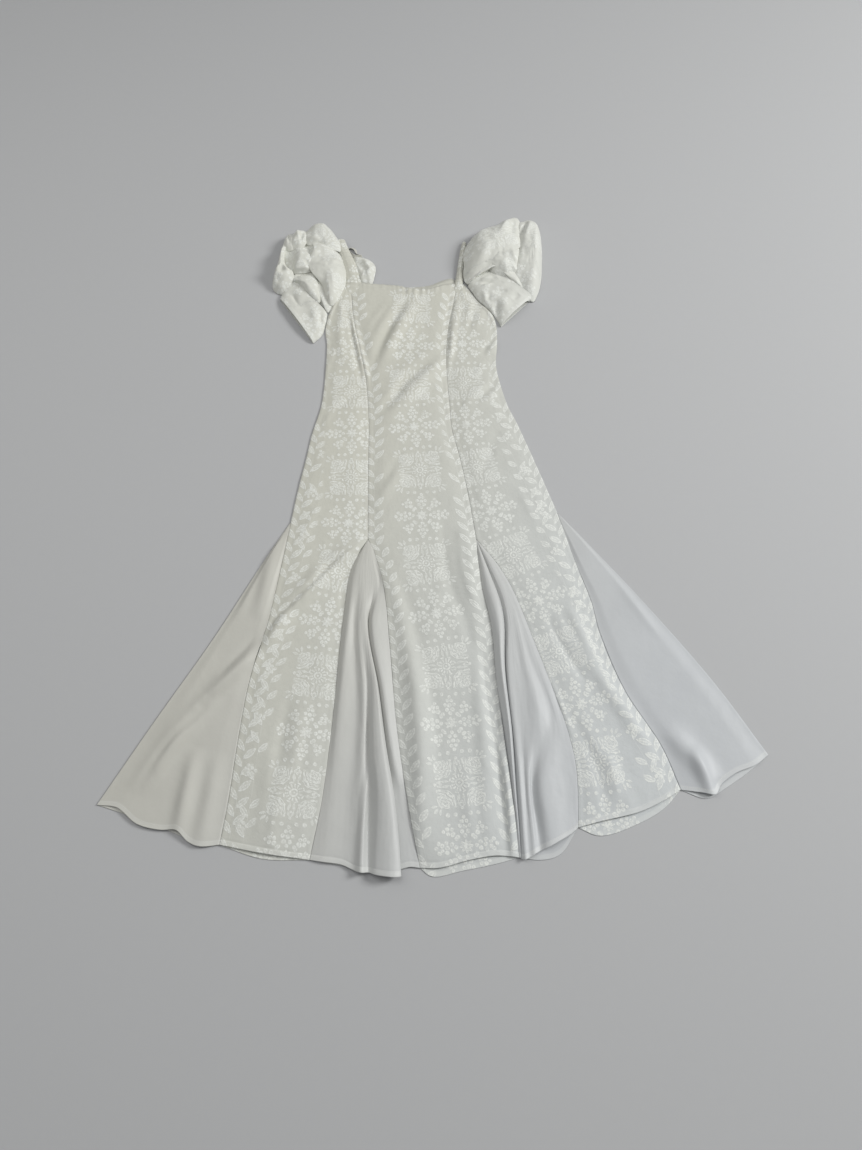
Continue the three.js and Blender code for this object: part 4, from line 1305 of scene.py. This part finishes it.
# Lobes of cloth of the upper sleeves, lowest first. Each has its middle and crown height, its
# outline in x, y, z, and creases in it: x, y of the start, x, y of the end, half width, height.
LOBES = {
    "left": {
        "pocket": {"crown": (-280, 782, 27),
         "outline": [(-344, 802, 18), (-318, 822, 20), (-284, 826, 25), (-250, 806, 27), (-244, 770, 27),
                     (-264, 740, 24), (-300, 728, 19), (-330, 728, 17), (-348, 756, 15)],
         "creases": [(-306, 812, -276, 772, 9, -4), (-338, 790, -330, 744, 8, -4)]},
        "outer": {"crown": (-353, 722, 32),
         "outline": [(-350, 826, 12), (-357, 790, 8), (-363, 745, 6), (-371, 704, 4), (-368, 682, 3),
                     (-357, 671, 3), (-344, 667, 5), (-330, 680, 14), (-320, 698, 20), (-323, 718, 24),
                     (-338, 732, 24), (-345, 760, 24), (-344, 798, 22)],
         "creases": [(-362, 716, -347, 734, 4, 6), (-347, 734, -332, 716, 4, 6),
                     (-353, 712, -340, 720, 4, -5), (-364, 704, -346, 686, 8, -6),
                     (-353, 800, -352, 744, 4, 3)]},
        "corner": {"crown": (-338, 812, 30),
         "outline": [(-350, 792, 14), (-352, 820, 12), (-346, 842, 10), (-334, 846, 12), (-324, 834, 22),
                     (-320, 806, 26), (-328, 784, 24)],
         "creases": [(-344, 836, -334, 800, 4, -4)]},
        "shoulder": {"crown": (-316, 818, 36),
         "outline": [(-334, 790, 20), (-335, 818, 20), (-330, 842, 14), (-316, 856, 12), (-303, 850, 18),
                     (-294, 832, 26), (-296, 800, 30), (-310, 780, 26)],
         "creases": [(-322, 846, -312, 812, 5, 4), (-306, 836, -308, 806, 4, -5)]},
        "middle": {"crown": (-301, 744, 38),
         "outline": [(-325, 772, 20), (-319, 787, 26), (-303, 782, 30), (-286, 764, 32), (-274, 744, 30),
                     (-274, 726, 27), (-282, 715, 26), (-302, 713, 24), (-320, 716, 21), (-325, 742, 18)],
         "creases": [(-322, 720, -280, 719, 4, 4), (-308, 776, -300, 740, 6, 3),
                     (-292, 744, -284, 722, 5, -3)]},
        "lower": {"crown": (-284, 676, 28),
         "outline": [(-326, 700, 17), (-314, 714, 20), (-294, 718, 21), (-276, 716, 21), (-262, 698, 18),
                     (-258, 672, 14), (-254, 652, 10), (-258, 638, 9), (-270, 641, 12), (-284, 653, 15),
                     (-295, 668, 16), (-308, 684, 16)],
         "creases": [(-304, 700, -278, 664, 9, 2), (-324, 708, -280, 711, 5, -4)]},
        "crown": {"crown": (-262, 838, 42),
         "outline": [(-304, 812, 24), (-303, 843, 16), (-292, 864, 10), (-276, 873, 8), (-257, 871, 8),
                     (-240, 860, 8), (-226, 838, 8), (-214, 814, 10), (-212, 790, 14), (-236, 786, 26),
                     (-262, 796, 30), (-284, 794, 29)],
         "creases": [(-262, 868, -226, 806, 6, 3), (-249, 856, -222, 812, 4, -5),
                     (-292, 846, -280, 812, 8, -3), (-292, 812, -256, 802, 5, 3)]},
        "fan": {"crown": (-234, 724, 38),
         "outline": [(-276, 796, 34), (-256, 793, 34), (-234, 786, 26), (-216, 776, 18), (-207, 756, 12),
                     (-199, 728, 8), (-199, 702, 5), (-207, 670, 4), (-222, 637, 5), (-233, 632, 6),
                     (-243, 656, 12), (-251, 680, 20), (-264, 694, 28), (-277, 710, 32), (-284, 730, 34),
                     (-282, 752, 34), (-275, 772, 36)],
         "creases": [(-270, 762, -212, 768, 13, -6), (-280, 732, -238, 728, 6, 3),
                     (-238, 728, -206, 750, 6, 3), (-203, 722, -222, 652, 6, -3),
                     (-234, 710, -232, 650, 5, -2)]},
    },
    "right": {
        "outer": {"crown": (238, 792, 44),
         "outline": [(212, 872, 22), (224, 886, 14), (240, 895, 10), (254, 889, 8), (262, 868, 6),
                     (265, 826, 5), (263, 760, 4), (258, 706, 3), (249, 670, 3), (236, 645, 4),
                     (224, 652, 8), (208, 672, 14), (194, 690, 20), (192, 720, 26), (198, 770, 30),
                     (206, 830, 30)],
         "creases": [(240, 884, 218, 800, 6, 4), (231, 872, 212, 818, 6, -8), (212, 818, 200, 756, 6, -5),
                     (252, 850, 246, 720, 9, 3), (216, 780, 224, 738, 4, -3), (224, 738, 240, 752, 4, -3),
                     (242, 720, 228, 680, 8, 3)]},
        "under": {"crown": (150, 722, 34),
         "outline": [(84, 694, 10), (96, 712, 16), (120, 728, 22), (150, 736, 26), (186, 726, 26),
                     (206, 704, 22), (222, 668, 10), (206, 674, 12), (186, 690, 14), (165, 703, 16),
                     (150, 712, 17), (134, 720, 17), (108, 706, 12)],
         "creases": [(130, 726, 172, 716, 5, 3)]},
        "centre": {"crown": (176, 740, 46),
         "outline": [(138, 718, 28), (132, 750, 36), (150, 782, 40), (180, 790, 40), (208, 776, 34),
                     (207, 742, 28), (204, 716, 22), (190, 704, 20), (172, 694, 18), (155, 702, 22)],
         "creases": [(190, 720, 206, 706, 6, 5), (172, 730, 204, 732, 7, -5), (186, 770, 200, 730, 6, 4)]},
        "main": {"crown": (150, 800, 48),
         "outline": [(78, 746, 14), (77, 780, 12), (83, 806, 10), (92, 826, 8), (104, 846, 8),
                     (122, 862, 8), (142, 872, 8), (164, 880, 8), (184, 892, 8), (205, 906, 8),
                     (213, 888, 16), (214, 850, 26), (212, 810, 34), (208, 780, 38), (190, 764, 42),
                     (164, 748, 42), (141, 722, 34), (124, 716, 28), (105, 703, 20), (87, 694, 10),
                     (79, 703, 9), (76, 724, 11)],
         "creases": [(112, 850, 92, 790, 4.5, -6), (93, 792, 84, 764, 4, -6), (84, 768, 92, 738, 4, -4),
                     (124, 856, 104, 800, 6, 3), (176, 884, 170, 812, 10, 3), (150, 872, 134, 790, 9, -2.5),
                     (204, 890, 202, 822, 4, 3), (198, 880, 188, 810, 8, -2.5), (140, 796, 112, 724, 11, 3),
                     (92, 776, 90, 712, 6, 2)]},
    },
}

# Edges of the low sheet under the lobes. Columns: x, y.
SLEEVE_FLOORS = {
    "left": [(-204, 706), (-206, 740), (-212, 772), (-220, 800), (-226, 820), (-242, 844),
             (-270, 857), (-294, 842), (-306, 834), (-322, 841), (-336, 828), (-349, 822), (-354, 790),
             (-358, 741), (-367, 702), (-363, 684), (-350, 680), (-334, 704), (-308, 702), (-294, 684),
             (-282, 664), (-270, 650), (-252, 634), (-238, 612), (-226, 634), (-212, 672)],
    "right": [(244, 662), (253, 690), (261, 740), (262, 825), (254, 858), (236, 868), (213, 860),
              (203, 872), (172, 863), (130, 853), (108, 838), (94, 822), (90, 804), (86, 775),
              (83, 740), (81, 708), (92, 700), (108, 714), (134, 730), (154, 719), (174, 708),
              (206, 682)],
}
FLOOR_CROWNS = {"left": (-296, 752, 22), "right": (176, 786, 26)}

# Seams between the upper sleeves and their lower tiers, left to right. Columns: x, y.
TIER_SEAMS = {
    "left": [(-343, 680), (-327, 700), (-308, 694), (-297, 680), (-287, 658), (-276, 645), (-259, 630),
             (-238, 606)],
    "right": [(86, 690), (108, 708), (134, 724), (152, 713), (171, 703), (204, 676), (238, 652)],
}

# Lower sleeves: side edges from the hem up to the seam, heights at the hem and at the seam, and
# creases in the front.
LOWER_SLEEVES = {
    "left": {
        "left": [(-350, 652)],
        "right": [(-266, 524), (-248, 546), (-241, 578)],
        "heights": (12, 17),
        "creases": [(-322, 658, -306, 628, 4, -2.4), (-310, 630, -298, 620, 4, -2),
                    (-314, 676, -292, 636, 9, 2), (-300, 640, -276, 560, 13, -2.4),
                    (-268, 620, -262, 570, 8, 2), (-252, 604, -250, 566, 4, -3)],
    },
    "right": {
        "left": [(160, 572), (152.9, 589), (141.9, 609), (126.9, 628), (109.9, 648)],
        "right": [(226, 646)],
        "heights": (13, 24),
        "creases": [(114, 695, 142, 702, 3.5, 4), (116, 685, 144, 691, 3.5, -4),
                    (118, 677, 142, 683, 3.5, 4), (126, 640, 141, 659, 5, -4),
                    (141, 659, 176, 664, 5, -4), (151, 640, 150, 584, 8, -6),
                    (166, 650, 172, 606, 10, 3), (188, 640, 204, 654, 7, -3),
                    (120, 668, 132, 620, 6, 3)],
    },
}

# Neck casings of the sleeves, from their ends on the bodice: middle line, width, and the heights of
# their sides and of the arch between. Columns: x, y, width, sides, arch.
CASINGS = {
    "left": [(-184, 668, 34, 1.6, 0.2), (-183, 684, 38, 2.0, 2.2), (-182, 702, 40, 2.4, 5),
             (-189, 740, 36, 3.0, 9), (-200, 772, 31, 5.0, 10), (-211, 800, 28, 8.0, 9),
             (-218, 828, 22, 8.0, 6)],
    "right": [(62, 672, 20, 1.6, 0.2), (64, 688, 20, 2.0, 2.4), (66, 704, 18, 2.4, 5),
              (69, 740, 15, 2.0, 8), (73, 775, 14, 2.0, 9), (77, 805, 13, 2.0, 8), (80, 828, 9, 2.0, 5)],
}

# The part of the left sleeve's back that shows in the neck, in the columns of a lobe.
SLEEVE_BACK = [(-163, 700, 3), (-150, 699, 3), (-140, 698, 3), (-133, 722, 6), (-132, 749, 7),
               (-144, 768, 6), (-160, 778, 5), (-183, 782, 4), (-184, 764, 6), (-174, 738, 6),
               (-166, 716, 5)]
SLEEVE_BACK_CROWN = (-156, 742, 17)
SLEEVE_BACK_CREASES = [(-176, 762, -150, 724, 7, -5), (-160, 770, -142, 730, 5, 3),
                       (-150, 716, -140, 740, 5, 3)]
SLEEVE_BACK_TURN = -10

# Line that the ribbon stands on, in x and y, its height, how far it leans from foot to top, the thickness
# and lowest height of its cloth, and the width of its edges as a share of its height; the edges get a
# painted highlight.
RIBBON_PATH = [(-200.8, 808), (-191, 812), (-183, 807), (-177, 793), (-165, 787), (-180, 785),
               (-190, 790), (-196, 799)]
RIBBON_HEIGHT = 5
RIBBON_LEAN = 7.0
RIBBON_CLOTH = 0.8
RIBBON_LOWEST = 0.4
RIBBON_HIGHLIGHT_EDGE = 0.16

# Thickness and lowest height of the casings' cloth.
CASING_CLOTH = 1.0
CASING_LOWEST = 0.6

# Turn of the print on each sleeve, in degrees, and the distance after which it repeats there.
SLEEVE_TURN = {"left": 38, "right": -24}
SLEEVE_PRINT_WIDTH = 130.0

# Rings of a lobe's edge as it rolls under. Columns: distance out from the outline, fall below it.
LOBE_ROLL = ((0.7, 0.9), (0.8, 2.0), (0.1, 3.6), (-1.2, 6.0), (-2.6, 10.0))

# Lowest height of the sleeves' rows, a little over a cloth's thickness so that their undersides
# stay off the surface, and the heights of the low sheet under the lobes and of a tier's underside.
SLEEVE_LOWEST = SLEEVE_CLOTH + 0.1
SLEEVE_FLOOR_HEIGHT = 2.0
TIER_LOWEST = 1.0

# Rows of a lower tier in its turned-up hem and where its even rows start, as shares of its length,
# its grid, and the columns of its front that carry the hem's stitches.
TIER_HEM_ROWS = (0, 0.015, 0.035, 0.06, 0.085, 0.1, 0.115)
TIER_EVEN_FROM = 0.14
TIER_ROWS = 44
TIER_COLUMNS = 128
TIER_FRONT = slice(3, 61)

# Grids of a casing and of the ribbon: rows along it and columns across.
CASING_ROWS = 120
CASING_COLUMNS = 26
RIBBON_ROWS = 96
RIBBON_COLUMNS = 9

# How much whiter the sleeves' heaped cloth looks than one layer, where a turned hem has 1.
HEAPED = 2.0

# Places across a neck casing of its two rows of stitches, as shares.
CASING_STITCHES = (0.28, 0.74)


def turned_map(x, y, degrees, shift):
    """The print's map on crumpled cloth, turned and shifted."""
    c, s = math.cos(math.radians(degrees)), math.sin(math.radians(degrees))
    across = x * c - y * s
    along = x * s + y * c
    return np.stack([(across + shift) % SLEEVE_PRINT_WIDTH - SLEEVE_PRINT_WIDTH / 2, along], axis=-1)


def lobe(sheets, crown, outline, creases, turn, sizes, seed, steps=132, rings=20, roll=True):
    """Add one rounded lobe of cloth whose edge rolls under."""
    edge = spline(outline, closed=True)(np.linspace(0, 1, steps, endpoint=False))
    area = np.sum(edge[:, 0] * np.roll(edge[:, 1], -1) - np.roll(edge[:, 0], -1) * edge[:, 1])
    if area < 0:
        edge = edge[::-1]
    share = np.sin(np.linspace(0, math.pi / 2, rings))[:, None]
    x = crown[0] + share * (edge[None, :, 0] - crown[0])
    y = crown[1] + share * (edge[None, :, 1] - crown[1])
    fall = share ** 2.6
    z = crown[2] * (1 - fall) + edge[None, :, 2] * fall
    kept = 1 - share ** 8
    rough = sizes.crumple / MM
    z = z + kept * (ridge_height(creases, x, y) + rough * 1.5 * crumple(x, y, 21.0, seed)
                    + rough * 0.8 * crumple(x, y, 8.5, seed + 3.0))
    grids = [np.dstack([x, y, z])]
    outward = edge[:, :2] - np.array(crown[:2])
    outward /= np.linalg.norm(outward, axis=1, keepdims=True)
    if roll:
        for out, down in LOBE_ROLL:
            ring = np.column_stack([edge[:, :2] + outward * out, edge[:, 2] - down])
            grids.append(ring[None, :, :])
    grid = np.concatenate(grids, axis=0)
    grid[..., 2] = np.maximum(grid[..., 2], SLEEVE_LOWEST)
    maps = {"print": turned_map(grid[..., 0], grid[..., 1], turn + 31 * seed, 40.0 * seed)}
    sheets.add(grid, maps, np.full(grid.shape[:2], HEAPED), around=True, flip=True)


def upper_sleeve(side, sizes):
    """The puff of a sleeve: lobes of cloth over a low sheet."""
    node = f"sleeve_upper_{side}"
    sheets = Sheets()
    floor = [(x, y, SLEEVE_FLOOR_HEIGHT) for x, y in SLEEVE_FLOORS[side]]
    lobe(sheets, FLOOR_CROWNS[side], floor, [], SLEEVE_TURN[side], sizes, seed=9.0, steps=150,
         rings=12, roll=False)
    for number, row in enumerate(LOBES[side].values()):
        lobe(sheets, row["crown"], row["outline"], row["creases"], SLEEVE_TURN[side], sizes,
             seed=float(number))
    piece = sheets.piece(node + "_cloth", material("printed_cloth"), SLEEVE_CLOTH, -1.0)
    hand_over(piece, node)


def lower_sleeve(side, sizes):
    """The lower tier of a sleeve: a flattened tube with a turned hem."""
    node = f"sleeve_lower_{side}"
    row = LOWER_SLEEVES[side]
    seam = TIER_SEAMS[side]
    plan = patch(spline(row["left"] + [seam[0]]), spline(row["right"] + [seam[-1]]), (), seam[1:-1])
    rows = np.concatenate([TIER_HEM_ROWS, np.linspace(TIER_EVEN_FROM, 1, TIER_ROWS)])
    angle = np.linspace(0, 2 * math.pi, TIER_COLUMNS, endpoint=False)
    u, v = np.meshgrid(0.5 - 0.495 * np.cos(angle), rows)
    xy = plan(u, v)
    rise = np.sin(angle)[None, :]
    x, y = xy[..., 0], xy[..., 1]
    tall = row["heights"][0] + (row["heights"][1] - row["heights"][0]) * v
    top = tall * np.maximum(rise, 0) ** 0.8
    length = along_rows(xy)
    rough = sizes.crumple / MM
    wrinkles = ridge_height(row["creases"], x, y) + rough * crumple(x, y, 18.0, 12.0)
    z = TIER_LOWEST + np.where(rise > 0, top + wrinkles * np.minimum(1, np.maximum(rise, 0) * 2), 0)
    z = z + 0.4 * hem_share(length, sizes.hem_depth / MM) * (rise > 0)
    z = np.maximum(np.where(rise > 0, z, 0), SLEEVE_LOWEST)
    maps = {"print": turned_map(x, y, SLEEVE_TURN[side] * 2, 30.0)}
    sheets = Sheets()
    grid = np.dstack([x, y, z])
    layers = HEAPED + 0.8 * hem_share(length, sizes.hem_depth / MM)
    sheets.add(grid, maps, layers, around=True, flip=True)
    piece = sheets.piece(node + "_cloth", material("printed_cloth"), SLEEVE_CLOTH, -1.0)
    hand_over(piece, node)
    sew(node, [grid[HEM_STITCH_ROW, TIER_FRONT] - (0, 0, CLOTH / 2)], sizes)


def casing(side):
    """A gathered casing along the neck edge of a sleeve."""
    node = f"neck_casing_{side}"
    rows = CASINGS[side]
    line = spline(rows, even=False)
    v, u = np.meshgrid(np.linspace(0, 1, CASING_ROWS), np.linspace(0, 1, CASING_COLUMNS),
                       indexing="ij")
    run = (line(np.minimum(v + 0.02, 1)) - line(np.maximum(v - 0.02, 0)))[..., :2]
    run /= np.linalg.norm(run, axis=-1, keepdims=True)
    middle = line(v)
    length = along_rows(middle[..., :2])
    shown = smooth(unit_share((length - 6) / 30.0)) * np.sin(math.pi * u) ** 0.5
    gathers = np.sin(length / 1.5 + 1.6 * np.sin(length / 7.0) + 2 * u) * shown
    off = (u - 0.5) * middle[..., 2] + 0.3 * gathers
    x = middle[..., 0] + run[..., 1] * off
    y = middle[..., 1] - run[..., 0] * off
    arch = (1 - np.abs(2 * u - 1) ** 2.6) ** 0.8
    z = CASING_LOWEST + middle[..., 3] + middle[..., 4] * arch + 0.8 * gathers
    groove = sum(bell(u, row, 0.05) for row in CASING_STITCHES)
    z = np.maximum(z - 0.9 * groove * shown, CASING_LOWEST)
    sheets = Sheets()
    sheets.add(np.dstack([x, y, z]), {"print": turned_map(x, y, 70, 12.0)})
    piece = sheets.piece(node + "_cloth", material("printed_cloth"), CASING_CLOTH)
    hand_over(piece, node)


def sleeve_back(sizes):
    """The part of the left sleeve's back that shows above the neck."""
    sheets = Sheets()
    lobe(sheets, SLEEVE_BACK_CROWN, SLEEVE_BACK, SLEEVE_BACK_CREASES, SLEEVE_BACK_TURN, sizes,
         seed=2.0, steps=96, rings=16)
    piece = sheets.piece("sleeve_back_left_cloth", material("printed_cloth"), SLEEVE_CLOTH, -1.0)
    hand_over(piece, "sleeve_back_left")


def ribbon_loop():
    """A narrow ribbon that stands on its edge and curls back beside its start."""
    line = spline(RIBBON_PATH)
    v, u = np.meshgrid(np.linspace(0, 1, RIBBON_ROWS), np.linspace(0, 1, RIBBON_COLUMNS),
                       indexing="ij")
    run = line(np.minimum(v + 0.01, 1)) - line(np.maximum(v - 0.01, 0))
    run /= np.linalg.norm(run, axis=-1, keepdims=True)
    lean = RIBBON_LEAN * (u - 0.5) * (0.65 + 0.35 * np.sin(v * 9)) + 0.35 * np.sin(math.pi * u)
    x = line(v)[..., 0] + run[..., 1] * lean
    y = line(v)[..., 1] - run[..., 0] * lean
    z = RIBBON_LOWEST + u * (RIBBON_HEIGHT + 0.5 * np.sin(v * 23))
    sheets = Sheets()
    # The ribbon's edges are whiter, a painted highlight.
    edge = np.maximum(1 - u / RIBBON_HIGHLIGHT_EDGE, 0) + np.maximum(1 - (1 - u) / RIBBON_HIGHLIGHT_EDGE, 0)
    sheets.add(np.dstack([x, y, z]), None, edge)
    piece = sheets.piece("ribbon_loop_left_cloth", material("plain_satin"), RIBBON_CLOTH)
    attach(piece, BODY)
    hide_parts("ribbon_loop_left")


# Floor, lights and camera, in metres and watts. Columns of a light: name, place, aim, width, power,
# colour. The camera tilts up from straight down, by degrees.
FLOOR_HALF = 5.0
FLOOR_SPECKLE = 60.0
LIGHTS = (
    ("key", (4.2, 0.9, 2.9), (0.0, 0.1, 0.0), 1.7, 190, (1.0, 1.0, 0.99)),
    ("fill", (-2.4, 0.8, 2.4), (0.0, 0.0, 0.0), 2.2, 14, (1.0, 0.98, 0.95)),
    ("top", (-0.3, 0.4, 3.2), (-0.1, 0.2, 0.0), 2.2, 22, (1.0, 1.0, 1.0)),
)
WORLD_COLOUR = (0.98, 0.99, 1.0)
WORLD_STRENGTH = 0.27
CAMERA_PLACE = (0.0, -0.775, 1.550)
CAMERA_TILT = 25
CAMERA_SENSOR = 36.0
CAMERA_LENS = 27.05


# Steps

class MUUMUU_OT_back(bpy.types.Operator):
    """Make the three printed panels and the two plain godets of the back."""

    bl_idname = "muumuu.back"
    bl_label = "Back panels"

    def execute(self, context):
        sizes = context.scene.muumuu_sizes
        back_panel("back_centre", panel_plan("left_inner", "right_inner", "back_hem_centre", "neck_back"),
                   "printed_cloth", sizes, "centre", ("left", "right"))
        back_panel("back_side_left", panel_plan("side_left", "left_outer", "back_hem_side_left"),
                   "printed_cloth", sizes, "left", ("right",), "left")
        back_panel("back_side_right", panel_plan("right_outer", "side_right", "back_hem_side_right"),
                   "printed_cloth", sizes, "right", ("left",), "right")
        back_panel("godet_back_left",
                   panel_plan("left_outer", "left_inner", "back_hem_inset_left", "", GODET_POINT),
                   "plain_satin", sizes, top=GODET_POINT)
        back_panel("godet_back_right",
                   panel_plan("right_inner", "right_outer", "back_hem_inset_right", "", GODET_POINT),
                   "plain_satin", sizes, top=GODET_POINT)
        return {"FINISHED"}


class MUUMUU_OT_front(bpy.types.Operator):
    """Make the three printed panels of the front."""

    bl_idname = "muumuu.front"
    bl_label = "Front panels"

    def execute(self, context):
        sizes = context.scene.muumuu_sizes
        front_panel("front_centre", panel_plan("left_inner", "right_inner", "hem_centre", "neck_front"),
                    "centre", ("left", "right"), None, sizes, neck=True)
        front_panel("front_side_left", panel_plan("side_left", "left_outer", "hem_side_left"),
                    "left", ("right",), "left", sizes)
        front_panel("front_side_right", panel_plan("right_outer", "side_right", "hem_side_right"),
                    "right", ("left",), "right", sizes)
        return {"FINISHED"}


class MUUMUU_OT_godets(bpy.types.Operator):
    """Make the plain godets in the front and side seams."""

    bl_idname = "muumuu.godets"
    bl_label = "Godets"

    def execute(self, context):
        sizes = context.scene.muumuu_sizes
        front_godet("godet_front_left", "left_outer", "left_inner", FRONT_FOLDS["left"],
                    sizes)
        front_godet("godet_front_right", "right_inner", "right_outer", FRONT_FOLDS["right"],
                    sizes)
        side_godet("godet_side_left", "side_left", OUTER_FOLDS["left"], "hem_godet_left",
                   "back_hem_godet_left", -1, sizes)
        side_godet("godet_side_right", "side_right", OUTER_FOLDS["right"], "hem_godet_right",
                   "back_hem_godet_right", 1, sizes)
        return {"FINISHED"}


class MUUMUU_OT_sleeves(bpy.types.Operator):
    """Make both puffed sleeves, their casings and the ribbon loop."""

    bl_idname = "muumuu.sleeves"
    bl_label = "Sleeves"

    def execute(self, context):
        sizes = context.scene.muumuu_sizes
        for side in ("left", "right"):
            upper_sleeve(side, sizes)
            lower_sleeve(side, sizes)
            casing(side)
        sleeve_back(sizes)
        ribbon_loop()
        return {"FINISHED"}


class MUUMUU_OT_stage(bpy.types.Operator):
    """Make the pale floor, the soft lights and the camera."""

    bl_idname = "muumuu.stage"
    bl_label = "Floor, lights and camera"

    def execute(self, context):
        scene = context.scene
        colours = scene.muumuu_colours
        mesh = bpy.data.meshes.new("floor")
        corners = [(FLOOR_HALF * x, FLOOR_HALF * y, 0) for x, y in ((-1, -1), (1, -1), (1, 1), (-1, 1))]
        mesh.from_pydata(corners, [], [(0, 1, 2, 3)])
        floor = bpy.data.objects.new("floor", mesh)
        scene.collection.objects.link(floor)
        recipe = Recipe("floor_paint")
        place = recipe.node("ShaderNodeTexCoord", out=3)
        speckle = recipe.noise(place, FLOOR_SPECKLE, 3.0)
        tone = recipe.mix(speckle * 0.3, colours.floor, [c * 0.94 for c in colours.floor])
        mesh.materials.append(recipe.surface(tone, roughness=0.85))

        world = bpy.data.worlds.new("studio")
        scene.world = world
        world.use_nodes = True
        background = world.node_tree.nodes["Background"]
        background.inputs["Color"].default_value = (*WORLD_COLOUR, 1.0)
        background.inputs["Strength"].default_value = WORLD_STRENGTH
        for name, place, aim, size, power, colour in LIGHTS:
            lamp = bpy.data.lights.new(name, "AREA")
            lamp.shape = "DISK"
            lamp.size = size
            lamp.energy = power
            lamp.color = colour
            holder = bpy.data.objects.new(name, lamp)
            holder.location = place
            holder.rotation_euler = (Vector(aim) - Vector(place)).to_track_quat("-Z", "Y").to_euler()
            scene.collection.objects.link(holder)

        camera = bpy.data.cameras.new("camera")
        camera.sensor_width = CAMERA_SENSOR
        camera.lens = CAMERA_LENS
        eye = bpy.data.objects.new("camera", camera)
        eye.location = CAMERA_PLACE
        eye.rotation_euler = (math.radians(CAMERA_TILT), 0.0, 0.0)
        scene.collection.objects.link(eye)
        scene.camera = eye
        scene.view_settings.view_transform = "Standard"
        return {"FINISHED"}


class MUUMUU_PT_panel(bpy.types.Panel):
    """Sizes, colours and steps of the garment."""

    bl_idname = "MUUMUU_PT_panel"
    bl_label = "Muumuu"
    bl_space_type = "VIEW_3D"
    bl_region_type = "UI"
    bl_category = "Muumuu"

    def draw(self, context):
        layout = self.layout
        for group in (context.scene.muumuu_sizes, context.scene.muumuu_colours):
            for name in group.bl_rna.properties.keys():
                if name not in ("rna_type", "name"):
                    layout.prop(group, name)
        for step in STEPS:
            layout.operator(step.bl_idname)


STEPS = (MUUMUU_OT_back, MUUMUU_OT_front, MUUMUU_OT_godets, MUUMUU_OT_sleeves, MUUMUU_OT_stage)
CLASSES = (MuumuuSizes, MuumuuColours, *STEPS, MUUMUU_PT_panel)


def register():
    for cls in CLASSES:
        bpy.utils.register_class(cls)
    bpy.types.Scene.muumuu_sizes = bpy.props.PointerProperty(type=MuumuuSizes)
    bpy.types.Scene.muumuu_colours = bpy.props.PointerProperty(type=MuumuuColours)


def unregister():
    del bpy.types.Scene.muumuu_sizes
    del bpy.types.Scene.muumuu_colours
    for cls in reversed(CLASSES):
        bpy.utils.unregister_class(cls)


def main():
    register()
    bpy.ops.muumuu.back()
    bpy.ops.muumuu.front()
    bpy.ops.muumuu.godets()
    bpy.ops.muumuu.sleeves()
    bpy.ops.muumuu.stage()


if __name__ == "__main__":
    main()
